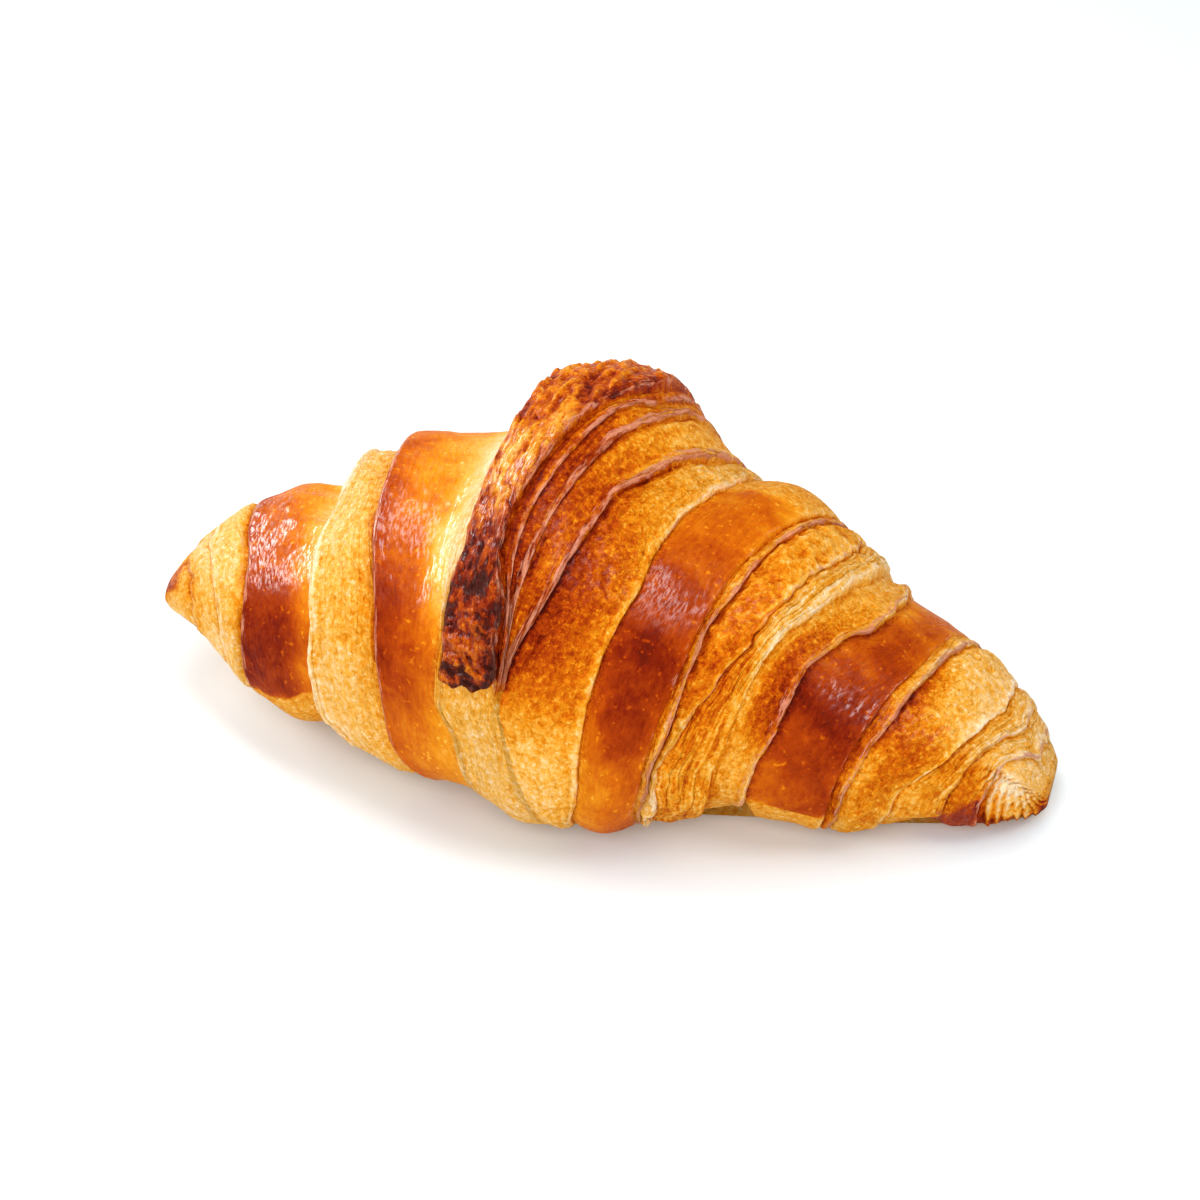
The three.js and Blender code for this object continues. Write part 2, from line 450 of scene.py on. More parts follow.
@dataclass(frozen=True)
class Gloss:
    """Where the skin shines, in degrees: the wash on a shoulder of the roll, and the top of the tail.

    The shoulder lies between a lower and an upper limit, which shift towards the left and the right end.
    """

    lower: float = 49.0
    upper: float = 64.0
    climb: float = 16.0
    fall: float = 18.0
    lost: float = 0.9
    leftward: Step = Step(-6.0, -14.0)
    left_lower: float = 13.0
    left_upper: float = 36.0
    rightward: Step = Step(36.0, 10.0)
    right_lower: float = 18.0
    right_upper: float = 6.0
    facet: float = 0.3
    layers: float = 0.2
    charred: float = 0.5
    tail: float = 0.3
    tail_gain: float = 0.6
    tail_angle: float = 76.0
    tail_height: float = 24.0
    tail_fine: Step = Step(110.0, -10.0)


@dataclass(frozen=True)
class Texture:
    """Patterns of the skin's fine relief, with sizes and heights in millimetres.

    On the bands the patterns of open dough carry a group's offset, so that no two groups look alike.
    """

    seed: int = 11
    group_offset: float = 5.3
    sway: Pattern = Pattern(3.0, 9.0, 0.0, 0.5)
    line: Pattern = Pattern(0.9, 16.0, 2.0, 0.22)
    wave: Pattern = Pattern(5.0, 9.0, 4.0, 0.35)
    foam: Pattern = Pattern(2.4, 3.4, 5.0)
    foam_steepness: float = 2.4
    foam_height: float = 1.6
    pits: Pattern = Pattern(1.3, 1.7, 7.0, octaves=2)
    holes: Pattern = Pattern(1.5, 1.5, 8.0)
    hole_depth: float = 0.9
    hole_from: float = 0.25
    crumb_height: float = 1.1
    blister: Pattern = Pattern(7.0, 12.0, 2.0, 0.2)
    pimple: Pattern = Pattern(2.0, 4.0, 6.0, 0.06)
    wrinkle: Pattern = Pattern(0.62, 2.1, 4.4)
    wide_wrinkle: Pattern = Pattern(1.3, 3.6, 5.4, 0.5)
    wrinkle_height: float = 0.12
    flake_turn: Step = Step(50.0, -12.0)
    upper_flake: Pattern = Pattern(2.6, 6.5, 1.0, 2.4, 2)
    upper_chip: Pattern = Pattern(1.3, 2.0, 3.0, 0.6)
    lower_flake: Pattern = Pattern(6.0, 2.2, 1.5, 2.6, 2)
    lower_chip: Pattern = Pattern(2.0, 0.9, 3.5, 0.8)
    flake_steepness: float = 2.6
    flake_height: float = 0.5
    tail_pits: float = 0.25
    rib_height: float = 0.6
    line_depth: float = 1.6
    foam_depth: float = 0.9
    crumb_depth: float = 1.6
    flake_depth: float = 0.35
    pit_depth: float = 0.7
    fibre_outer: float = 2.6
    fibre_inner: float = 2.0
    fibre_inner_share: float = 0.8
    fibre_near: float = 1.5
    fibre_begin: float = 12.0


@dataclass(frozen=True)
class Baking:
    """Bake tones of the skin beyond those of its bands; `front` browns the open layers low on the front."""

    front: Knots = (
        (-60, 0.0), (-20, 0.0), (5, 0.02), (25, 0.08), (45, 0.05), (66, 0.01), (90, 0.0), (200, 0),
    )
    bare: float = 0.4
    facet: float = 0.84
    tray: float = 0.36
    rib: float = -0.2
    end: float = 0.3
    spot: float = -0.26
    hem: float = 0.3
    swirl: float = 0.35
    # The lip tone lightens the lips, partly paler dough and partly a painted highlight; the trough run
    # carries the painted shade that darkens each trough.
    lip: float = -0.3
    lip_run: float = 1.5
    trough_shade_run: float = 1.1
    tail_edge: float = 0.16
    tail_edge_run: float = 3.0
    mottle: Pattern = Pattern(9.0, 20.0, 3.0, 0.06, 2)
    wash_ragged: Pattern = Pattern(3.0, 1.0, 8.0)
    wash_lower: Step = Step(0.0, 1.6)
    wash_lower_swing: float = 1.5
    wash_upper: Step = Step(0.0, 5.0)
    wash_upper_swing: float = 5.0
    wash_inner: float = 1.2
    facet_wash: float = 0.8
    char_low: Step = Step(66.0, -16.0)
    char_patches: Pattern = Pattern(4.5, 8.0, 8.0)
    char_outer: float = 2.2
    char_inner: float = 1.4
    char_inner_share: float = 0.7
    char_end: float = 5.0
    char_base: float = 0.4
    char_edge: float = 0.75
    char_patch: float = 0.8
    drop: float = 0.5
    drop_angle: float = 53.0
    drop_height: float = 11.0
    drop_part: float = 0.6
    drop_width: float = 0.3
    drop_reach: float = 1.3


@dataclass(frozen=True)
class Roll:
    """The whole roll's shape: its spindle, seams and bands."""

    half_length: float = 79.4
    start: float = -60.0
    visible_to: float = 200.0
    under_share: float = 0.46
    round_top: float = 2.2
    square_bottom: float = 2.9
    flat_cut: float = 0.9
    tip_rounding: float = 3.0
    shift_y: float = -1.5
    open_front: Step = Step(-60.0, 24.0)
    open_back: Step = Step(238.0, -36.0)
    arc_base: float = 12.0
    arc_share: float = 0.6
    tuck_below: Step = Step(5.0, -40.0)
    tuck_open: float = 16.0
    half_width: Knots = (
        (-80, 3), (-77, 6.5), (-72, 10.5), (-66, 15), (-57, 21), (-46, 26), (-36, 29), (-26, 33), (-14, 37),
        (-2, 39), (8, 38), (20, 34), (32, 30), (44, 26), (55, 21), (66, 16), (74, 12), (78, 8), (80, 4),
    )
    height: Knots = (
        (-80, 3), (-77, 8.5), (-72, 15.5), (-66, 23.5), (-57, 30.6), (-46, 40.6), (-36, 48), (-26, 48.5),
        (-14, 53), (-2, 55), (8, 52), (20, 47.4), (32, 45.8), (44, 36.8), (55, 29.2), (66, 23), (74, 14.6),
        (78, 7), (80, 3),
    )
    underside: Knots = (
        (-80, 13), (-77, 12), (-72, 10.8), (-66, 7.8), (-57, 5), (-46, 2), (-36, 1), (-26, 0), (66, 0),
        (74, 1), (78, 2), (80, 3.5),
    )
    tuck: Knots = (
        (-80, 1.5), (-74, 2.0), (-66, 1.4), (-58, 0.6), (-50, 0.6), (-42, 2.2), (-36, 0.4), (-28, 0.4),
        (-17, 2.0), (-10, 0), (-4, -1.4), (4, -0.3), (14, 1.0), (21, 2.2), (26, 3.0), (30, 4.0), (33, 1.2),
        (38, 1.7), (43, 0.7), (50, 1.0), (56, 2.2), (60, 3.0), (64, 1.4), (70, 0.8), (74, 2.0), (80, 0),
    )
    seams: tuple[Seam, ...] = (
        Seam("left_tip_fold", Half.LEFT, ((-60, 70), (0, 70.5), (45, 72.5), (90, 75), (200, 75)), over=0.5,
            over_run=1.5, under=-0.8, under_run=1.5, tint=0.7, wander=0.5),
        Seam("left_fold", Half.LEFT, ((-60, 62), (-6, 63.2), (28, 65), (46, 67), (68, 69), (88, 71),
            (200, 71)), over=0.4, over_run=1.4, under=-0.7, under_run=1.5, tint=0.55, pale_and_highlight=0.5),
        Seam("left_outer_lip", Half.LEFT, LEFT_LIP, 2, over=0.35, over_run=3, under=-1.3, tint=1.0,
            wander=0.12, trough=0.3),
        Seam("left_outer_foot", Half.LEFT, LEFT_FOOT, 1, over=1.5, over_run=2.6, under=-6.5, under_run=12,
            tint=0.1, pale_and_highlight=0.6,
            deepen=((-60, 0.3), (45, 0.25), (100, 1.0), (150, 0.9), (200, 0.3))),
        Seam("left_lip", Half.LEFT, LEFT_LIP, 1, over=0.5, over_run=3, under=-3.4, under_run=8, tint=1.0,
            wander=0.12, radius=0.8, trough=0.3,
            deepen=((-60, 0.5), (60, 0.5), (100, 1.0), (150, 0.9), (200, 0.4))),
        Seam("left_foot", Half.LEFT, LEFT_FOOT, 0, over=0.15, under=-0.4, under_run=6, tint=0.0, radius=0.3,
            trough=0.0),
        Seam("tail_left", Half.LEFT, LEFT_LIP, 0, over=0.2, under=-0.4, radius=1.6, tint=0.75, wander=0.7,
            begins=20.4, begin_run=1.2),
        Seam("tail_right", Half.RIGHT, RIGHT_LIP, 0, over=0.3, under=-0.7, under_run=1.0, tint=0.7,
            wander=0.5, radius=1.2, undercut=0.1, begins=20.4, begin_run=1.2, trough=0.05),
        Seam("heap_first_fold", Half.RIGHT, beside(RIGHT_LIP, 0, ((-60, 0.4), (25, 0.4), (48, 0.6),
            (60, 2.0), (80, 2.4), (95, 1.8), (200, 2.2))), over=0.35, over_run=1.1, under=-0.5,
            under_run=1.6, undercut=0.15, tint=0.95, begins=30, begin_run=14, trough=0.1),
        Seam("heap_fold", Half.RIGHT, ((-60, 1.8), (-20, -2.2), (0, -5.7), (14, -7.2), (42, -6.6),
            (55, -6.0), (69, -4.3), (83, -1.8), (92, 1), (105, 5.2), (116, 8), (130, 11), (200, 15.5)),
            over=0.55, over_run=1.7, crest_run=1.9, under=-0.55, under_run=2.0, undercut=0.2, tint=1.0,
            begins=16, begin_run=12, trough=0.12),
        Seam("heap_edge", Half.RIGHT, ((-60, 2.2), (-20, -1.6), (0, -5.2), (14, -6.8), (26, -6.1),
            (36, -4.6), (44, -2.8), (60, 0), (73, 2), (84, 4.1), (94, 8), (105, 11.4), (120, 15),
            (130, 16.8), (200, 20)), over=0.7, over_run=1.9, crest_run=2.2, under=-0.9, under_run=5,
            undercut=0.2, tint=1.0, begins=16, begin_run=12, trough=0.2),
        Seam("right_foot", Half.RIGHT, RIGHT_FOOT, 0, over=0.3, over_run=1.5, under=-0.65, under_run=8,
            undercut=0.0, tint=0.4, wander=0.4, pale_and_highlight=0.6, trough=0.0),
        Seam("right_lip", Half.RIGHT, RIGHT_LIP, 1, over=0.35, over_run=3, under=-0.6, under_run=1.0,
            tint=0.45, wander=0.12, radius=0.35, pale_and_highlight=0.3),
        Seam("right_lip_fold", Half.RIGHT, beside(RIGHT_LIP, 1, ((-60, 0.5), (0, 1.3), (20, 1.9), (54, 1.4),
            (72, 2.4), (85, 2.1), (200, 1.8))), over=0.45, over_run=1.4, crest_run=1.5, under=-0.7,
            under_run=2.4, undercut=0.15, tint=1.0, pale_and_highlight=0.3, trough=0.2),
        Seam("right_middle_fold", Half.RIGHT, ((-60, 14), (5, 19.4), (16, 21.5), (34, 25), (52, 29.5),
            (65, 33), (83, 36.5), (98, 39), (112, 40.5), (200, 41.5)), over=0.35, over_run=1.6, under=-0.4,
            undercut=0.15, tint=0.5, wander=0.9, pale_and_highlight=0.4),
        Seam("right_edge_fold", Half.RIGHT, ((-60, 22), (-10, 26), (2, 27.2), (18, 29.4), (35, 31.2),
            (49, 33.5), (63, 36.3), (78, 39.3), (98, 43), (112, 45), (200, 46)), over=0.8, over_run=2.4,
            under=-0.7, under_run=4.5, undercut=0.15, tint=0.25, wander=0.5, pale_and_highlight=0.4, trough=0.1,
            deepen=((-60, 1), (80, 1), (115, 1.8), (150, 2), (200, 1))),
        Seam("right_outer_foot", Half.RIGHT, RIGHT_FOOT, 1, over=0.5, over_run=1.8, crest_run=2.4,
            under=-1.8, under_run=9, tint=0.75, wander=0.5, pale_and_highlight=0.5, trough=0.15,
            deepen=((-60, 1.6), (-20, 0.8), (20, 0.4), (60, 0.5), (105, 0.7), (150, 0.9), (200, 0.4))),
        Seam("right_outer_lip", Half.RIGHT, RIGHT_LIP, 2, over=0.3, over_run=3, under=-0.6, under_run=1.0,
            tint=0.45, wander=0.12, radius=0.35, pale_and_highlight=0.3),
        Seam("right_outer_fold", Half.RIGHT, beside(RIGHT_LIP, 2, ((-60, 1.2), (0, 2.0), (40, 2.6),
            (60, 2.8), (80, 2.2), (200, 2.4))), over=0.45, over_run=1.4, crest_run=1.5, under=-0.7,
            under_run=2.4, undercut=0.15, tint=0.95, pale_and_highlight=0.4, trough=0.2),
        Seam("right_tip_fold", Half.RIGHT, ((-60, 51), (0, 55.2), (20, 59.8), (40, 64), (70, 68),
            (95, 70.2), (200, 71)), over=0.45, over_run=1.5, under=-0.5, undercut=0.15, tint=0.45,
            pale_and_highlight=0.7),
        Seam("right_tip_middle_fold", Half.RIGHT, ((-60, 60), (0, 63.5), (39, 67.2), (64, 70.8), (92, 73.8),
            (200, 74.5)), over=0.45, over_run=1.4, under=-0.5, undercut=0.15, tint=0.6, pale_and_highlight=0.5),
        Seam("right_tip_end_fold", Half.RIGHT, ((-60, 68), (0, 69), (46, 71.8), (63, 74.2), (90, 77),
            (200, 77.3)), over=0.5, over_run=1.4, under=-0.7, tint=0.8, pale_and_highlight=0.5),
    )
    bands: tuple[Band, ...] = (
        Band(Dough.LAYERS, Half.LEFT, rows=26, swell=0.3, fibre=0.5, crumb=0.12, foam=0.05, group=1,
            tones=even(0.34, 0.26, 0.36)),
        Band(Dough.LAYERS, Half.LEFT, rows=24, swell=0.3, fibre=0.4, crumb=0.12, foam=0.05, group=1,
            tones=even(0.2, 0.22, 0.36)),
        Band(Dough.LAYERS, Half.LEFT, rows=30, swell=0.5, fibre=0.35, crumb=0.14, foam=0.08, group=1,
            tones=even(0.36, 0.24, 0.24)),
        Band(Dough.CRUST, Half.LEFT, rows=56, swell=0.3, fibre=0.05, crumb=0.05, foam=0, group=2,
            tones=(((-20, 0.46), (0, 0.56), (20, 0.6), (40, 0.46), (60, 0.34), (80, 0.22), (100, 0.2)),
                ((-20, 0.78), (0, 0.86), (22, 0.88), (40, 0.8), (60, 0.68), (80, 0.6), (100, 0.5)),
                ((-20, 0.84), (0, 0.9), (22, 0.88), (40, 0.84), (60, 0.76), (80, 0.74), (100, 0.76))),
                washed_from=-20.0, washed_rise=18.0),
        Band(Dough.LAYERS, Half.LEFT, rows=48, swell=0.5, fibre=0.6, crumb=0.17, foam=0.12, group=3,
            tones=even(0.38, 0.26, 0.22)),
        Band(Dough.CRUST, Half.LEFT, rows=62, swell=0.4, fibre=0.1, crumb=0.05, foam=0, group=4,
            tones=(((-40, 0.4), (0, 0.42), (20, 0.58), (40, 0.42), (58, 0.2), (80, 0.14), (100, 0.1),
                (140, 0.3)), ((-40, 0.5), (0, 0.58), (22, 0.76), (40, 0.76), (60, 0.64), (80, 0.56),
                (100, 0.48), (140, 0.5)), ((-40, 0.6), (0, 0.68), (22, 0.84), (42, 0.84), (60, 0.78),
                (80, 0.74), (100, 0.64), (140, 0.6)))),
        Band(Dough.LAYERS, Half.LEFT, rows=16, swell=0.2, fibre=0.4, crumb=0.04, foam=0.0, group=5,
            tones=columns((-40, -5, 20, 34, 48, 80, 200), (0.34, 0.24, 0.28, 0.34, 0.24, 0.14, 0.08),
                (0.3, 0.22, 0.28, 0.34, 0.18, 0.14, 0.08), (0.26, 0.24, 0.32, 0.34, 0.16, 0.14, 0.08))),
        Band(Dough.TAIL, Half.RIGHT, rows=52, swell=0.0, fibre=0.2, crumb=0.1, foam=0.05, group=6,
            tones=even(0.3, 0.26, 0.28)),
        Band(Dough.LAYERS, Half.RIGHT, rows=12, swell=0.0, fibre=0.8, crumb=0.05, foam=0.0, group=7,
            tones=columns((15, 34, 80, 100), (0.28, 0.76, 0.78, 0.66), (0.28, 0.76, 0.76, 0.64),
                (0.28, 0.72, 0.72, 0.6)), lined_from=22.0),
        Band(Dough.LAYERS, Half.RIGHT, rows=24, swell=0.0, fibre=0.5, crumb=0.1, foam=0.05, group=7,
            tones=columns((15, 34, 84, 98, 110), (0.28, 0.74, 0.8, 0.64, 0.46),
                (0.28, 0.74, 0.78, 0.62, 0.46), (0.28, 0.72, 0.74, 0.56, 0.44)), lined_from=22.0),
        Band(Dough.LAYERS, Half.RIGHT, rows=26, swell=0.0, fibre=0.6, crumb=0.1, foam=0.05, group=7,
            tones=columns((15, 34, 60, 80, 94, 110), (0.3, 0.62, 0.66, 0.7, 0.56, 0.44),
                (0.3, 0.64, 0.64, 0.68, 0.54, 0.42), (0.3, 0.7, 0.74, 0.66, 0.46, 0.4)), lined_from=22.0),
        # The darker amber along this band's inner edge, from 36 to 98 degrees, is partly the dough's own and
        # partly painted shade beside the heap's edge fold.
        Band(Dough.LAYERS, Half.RIGHT, rows=56, swell=0.8, fibre=0.4, crumb=0.18, foam=0.16, group=7,
            tones=(((-40, 0.3), (0, 0.3), (20, 0.46), (36, 0.74), (60, 0.8), (84, 0.7), (98, 0.46),
                (110, 0.36)), ((-40, 0.32), (0, 0.3), (20, 0.46), (40, 0.68), (60, 0.7), (80, 0.54),
                (110, 0.32)), ((-40, 0.4), (0, 0.38), (20, 0.44), (40, 0.5), (60, 0.52), (80, 0.44),
                (110, 0.36)))),
        Band(Dough.CRUST, Half.RIGHT, rows=60, swell=1.8, fibre=0.05, crumb=0.05, foam=0, group=8,
            tones=columns((-40, -5, 10, 24, 42, 60, 80, 110),
                (0.54, 0.48, 0.58, 0.7, 0.84, 0.8, 0.62, 0.54),
                (0.64, 0.56, 0.7, 0.82, 0.88, 0.8, 0.66, 0.6),
                (0.74, 0.68, 0.76, 0.84, 0.88, 0.82, 0.66, 0.56)), washed_to=112.0),
        Band(Dough.LAYERS, Half.RIGHT, rows=18, swell=0.1, fibre=0.5, crumb=0.12, foam=0.1, group=9,
            tones=columns((0, 30, 60, 90), (0.34, 0.44, 0.5, 0.5), (0.34, 0.46, 0.5, 0.48),
                (0.32, 0.46, 0.48, 0.46))),
        Band(Dough.LAYERS, Half.RIGHT, rows=34, swell=0.8, fibre=0.35, crumb=0.16, foam=0.35, group=9,
            tones=columns((-10, 20, 45, 70, 100), (0.24, 0.44, 0.58, 0.56, 0.4),
                (0.24, 0.38, 0.56, 0.54, 0.4), (0.26, 0.4, 0.54, 0.5, 0.38))),
        Band(Dough.LAYERS, Half.RIGHT, rows=28, swell=0.8, fibre=1.0, crumb=0.1, foam=0.1, group=9,
            tones=columns((-20, 0, 25, 42, 60, 100), (0.46, 0.42, 0.5, 0.62, 0.42, 0.36),
                (0.48, 0.42, 0.48, 0.52, 0.3, 0.32), (0.46, 0.42, 0.4, 0.4, 0.16, 0.26))),
        Band(Dough.LAYERS, Half.RIGHT, rows=38, swell=-0.5, fibre=0.4, crumb=0.13, foam=0.05, group=9,
            tones=(((-40, 0.44), (0, 0.44), (20, 0.34), (50, 0.3), (70, 0.34), (110, 0.34)), ((-40, 0.36),
                (0, 0.36), (20, 0.56), (40, 0.7), (60, 0.66), (80, 0.48), (110, 0.36)), ((-40, 0.42),
                (0, 0.42), (20, 0.64), (40, 0.76), (60, 0.54), (80, 0.46), (110, 0.36)))),
        Band(Dough.CRUST, Half.RIGHT, rows=56, swell=0.3, fibre=0.05, crumb=0.05, foam=0, group=10,
            tones=columns((-20, 0, 20, 42, 60, 80, 110), (0.56, 0.66, 0.8, 0.86, 0.66, 0.68, 0.46),
                (0.7, 0.76, 0.84, 0.88, 0.78, 0.74, 0.62), (0.78, 0.8, 0.86, 0.9, 0.84, 0.74, 0.6)),
                washed_from=-12.0),
        Band(Dough.LAYERS, Half.RIGHT, rows=14, swell=0.1, fibre=0.5, crumb=0.1, foam=0.08, group=11,
            tones=columns((0, 40, 70, 100), (0.6, 0.58, 0.46, 0.28), (0.56, 0.6, 0.42, 0.26),
                (0.54, 0.54, 0.38, 0.26))),
        Band(Dough.LAYERS, Half.RIGHT, rows=44, swell=0.8, fibre=0.3, crumb=0.17, foam=0.22, group=11,
            tones=(((-20, 0.34), (20, 0.32), (42, 0.62), (62, 0.68), (84, 0.52), (100, 0.32)), ((-20, 0.42),
                (20, 0.56), (42, 0.52), (62, 0.34), (90, 0.28)), ((-20, 0.44), (20, 0.44), (42, 0.34),
                (62, 0.22), (90, 0.22)))),
        Band(Dough.LAYERS, Half.RIGHT, rows=22, swell=0.4, fibre=0.6, crumb=0.12, foam=0.1, group=11,
            tones=columns((-20, 20, 50, 90), (0.42, 0.36, 0.38, 0.3), (0.44, 0.46, 0.36, 0.3),
                (0.5, 0.44, 0.3, 0.28))),
        Band(Dough.LAYERS, Half.RIGHT, rows=18, swell=0.3, fibre=0.6, crumb=0.12, foam=0.1, group=11,
            tones=columns((-20, 20, 50, 90), (0.6, 0.44, 0.26, 0.28), (0.64, 0.5, 0.24, 0.26),
                (0.64, 0.5, 0.14, 0.24))),
        Band(Dough.LAYERS, Half.RIGHT, rows=22, swell=0.3, fibre=0.4, crumb=0.1, foam=0.05, group=11,
            tones=columns((-20, 20, 50, 90), (0.5, 0.24, 0.2, 0.26), (0.46, 0.24, 0.2, 0.26),
                (0.5, 0.34, 0.3, 0.36))),
    )


@dataclass
class Skin:
    """The skin on a lattice of rows along the roll and columns around it, in millimetres."""

    points: Array
    tips: Array
    masks: dict[str, Array]
    flow: Array


@dataclass
class Baker:
    """Works out the skin of the baked roll."""

    roll: Roll = field(default_factory=Roll)
    heap: Heap = field(default_factory=Heap)
    ends: Tips = field(default_factory=Tips)
    gloss: Gloss = field(default_factory=Gloss)
    texture: Texture = field(default_factory=Texture)
    baking: Baking = field(default_factory=Baking)
    column_runs: tuple[tuple[float, float, float], ...] = (
        (-60, -45, 1.2), (-45, 150, 0.42), (150, 205, 0.7), (205, 300, 1.5),
    )
    narrowest_band: float = 0.3
    bunching: float = 0.35
    drift: Pattern = Pattern(14.0, 1.0, 0.5, 2.0, 3)
    drift_step: float = 3.7
    under_width: float = 0.95
    over_width: float = 0.8
    trough_cut: float = 0.6
    trough_cut_run: float = 0.45
    lip_cut_run: float = 0.5

    def __post_init__(self) -> None:
        """Lays out the lattice."""
        self.grain = Grain(self.texture.seed)
        self.degrees = self._columns()
        self._lay_rows()

    def _columns(self) -> Array:
        """Spaces the columns, closer together where the layers show.

        Returns:
            The columns' angles in degrees.
        """
        counts = [int((b - a) / step) for a, b, step in self.column_runs]
        runs = [np.linspace(a, b, n, endpoint=False) for (a, b, _), n in zip(self.column_runs, counts)]
        return np.concatenate(runs)

    def _lay_rows(self) -> None:
        """Places every row between its band's seams, and measures how far it lies from each."""
        roll, degrees = self.roll, self.degrees
        edges = [np.full_like(degrees, -roll.half_length)]
        for number, seam in enumerate(roll.seams):
            drift = self.drift(self.grain, degrees, number * self.drift_step) * seam.wander
            edges.append(seam.place(degrees, roll) + drift * self._open(degrees))
        edges.append(np.full_like(degrees, roll.half_length))
        for i in range(1, len(edges) - 1):
            edges[i] = np.maximum(edges[i], edges[i - 1] + self.narrowest_band)
        rows, owner = [], []
        for number, band in enumerate(roll.bands):
            left, right = edges[number], edges[number + 1]
            for step in range(band.rows):
                part = (step + 0.5) / band.rows
                part -= self.bunching * math.sin(2 * math.pi * part) / (2 * math.pi)
                rows.append(left + (right - left) * part)
                owner.append(number)
        self.edges = edges
        self.x = np.array(rows)
        self.owner = np.array(owner)
        self.angle = np.broadcast_to(degrees, self.x.shape)
        left, right = np.array(edges)[self.owner], np.array(edges)[self.owner + 1]
        rightward = self.of_band("half") == Half.RIGHT.value
        self.width = right - left
        self.inner = np.where(rightward, self.x - left, right - self.x)
        self.outer = np.where(rightward, right - self.x, self.x - left)

    def _open(self, degrees: Array) -> Array:
        """Share of the relief left at an angle: the wraps are pressed smooth towards the tray."""
        return self.roll.open_front(degrees) * self.roll.open_back(degrees)

    def of_band(self, name: str) -> Array:
        """Reads one field of each row's band.

        Args:
            name: The field's name.

        Returns:
            Its numbers, as a column.
        """
        values = [getattr(band, name) for band in self.roll.bands]
        numbers = np.array([getattr(value, "value", value) for value in values], float)
        return numbers[self.owner][:, None]

    def is_dough(self, dough: Dough) -> Array:
        """Tells one kind of dough from the others; past the tail's end its band shows open layers.

        Args:
            dough: The kind.

        Returns:
            1 where the skin is of that kind and 0 elsewhere.
        """
        kinds = [band.dough for band in self.roll.bands]
        own = np.array([kinds[i] is dough for i in self.owner], float)[:, None]
        tail = np.array([kinds[i] is Dough.TAIL for i in self.owner], float)[:, None]
        if dough is Dough.TAIL:
            return tail * self.tail_share()
        if dough is Dough.LAYERS:
            return own + tail * (1.0 - self.tail_share())
        return own + np.zeros_like(self.x)

    def _seam_of(self, number: int, inner: bool) -> Seam | None:
        """Finds a seam beside a band.

        Args:
            number: The band's number.
            inner: Whether the seam on the side of the roll's middle is meant.

        Returns:
            The seam, or none at a tip.
        """
        right = (self.roll.bands[number].half is Half.RIGHT) != inner
        index = number if right else number - 1
        return self.roll.seams[index] if 0 <= index < len(self.roll.seams) else None

    def folded_height(self) -> tuple[Array, Array, Array]:
        """Relief from the seams.

        Returns:
            The height over the spindle, the shift along X that undercuts the lips, and the crests' tint.
        """
        height, shift, crest = (np.zeros_like(self.x) for _ in range(3))
        share = self._open(self.degrees)
        for number, band in enumerate(self.roll.bands):
            rows = self.owner == number
            inner, outer, width = self.inner[rows], self.outer[rows], self.width[rows]
            side = band.half.value
            total = band.swell * 4.0 * (inner / width) * (outer / width)
            moved, tinted = np.zeros_like(inner), np.zeros_like(inner)
            lips = [(self._seam_of(number, False), outer, side)]
            seam = self._seam_of(number, True)
            if band.dough is Dough.TAIL:
                lips.append((seam, inner, -side))
            elif seam is not None:
                shown = seam.strength(self.degrees)
                run = np.minimum(seam.under_run, width * self.under_width)
                deep = seam.under * Curve(seam.deepen)(self.degrees)
                total = total + deep * shown * fade(inner, run)
                cut = seam.undercut * self.trough_cut
                moved = moved - side * cut * shown * np.exp(-inner / self.trough_cut_run)
            for seam, away, out in lips:
                if seam is None:
                    continue
                shown = seam.strength(self.degrees)
                run = np.minimum(seam.over_run, width * self.over_width)
                bend = np.maximum(seam.radius - away, 0.0)
                round_off = seam.radius - np.sqrt(seam.radius**2 - bend**2)
                total = total + (seam.over * fade(away, run) - round_off) * shown
                moved = moved + out * seam.undercut * shown * np.exp(-away / self.lip_cut_run)
                tinted = np.maximum(tinted, seam.tint * shown * fade(away, seam.crest_run))
            height[rows] = total * share
            shift[rows] = moved * share
            crest[rows] = tinted * share
        return height, shift, crest

    def heap_height(self) -> Array:
        """Relief of the last wrap over the middle.

        Returns:
            The hump's height, tail included.
        """
        heap = self.heap
        after = {seam.name: edge for seam, edge in zip(self.roll.seams, self.edges[1:])}
        left, right, foot = after["tail_left"], after["tail_right"], after["right_foot"]
        shoulder = heap.shoulder + heap.shoulder_gain * heap.shoulder_from(self.angle)
        across = shoulder + (1.0 - shoulder) * heap.shoulder_climb(self.x - left)
        flank = heap.flank * heap.flank_climb(self.x - left)
        fallen = (self.x - right) / np.maximum(foot - right, heap.narrowest_fall)
        beyond = (1.0 - np.clip(fallen, 0.0, 1.0)) ** heap.fall_power
        profile = np.where(self.x < left, flank, np.where(self.x < right, across, beyond))
        tail = np.where((self.x >= left) & (self.x <= right), self.tail_share(), 0.0)
        return Curve(heap.rise)(self.degrees) * profile + Curve(heap.thickness)(self.degrees) * tail

    def tail_share(self) -> Array:
        """1 on the tail, dropping to 0 past its ragged end and again under the roll."""
        return self.heap.tail_edge(self.past_tail_end()) * (1.0 - self.heap.tail_melts(self.angle))

    def past_tail_end(self) -> Array:
        """Measures from the tail's ragged end, which is rounded at its corners.

        Returns:
            Degrees past the end.
        """
        heap = self.heap
        side = np.abs(2.0 * np.clip(self.inner / self.width, 0.0, 1.0) - 1.0)
        ragged = heap.tail_ragged(self.grain, self.x, 1.5)
        return self.angle - heap.tail_end - heap.tail_corner * side**4 - ragged

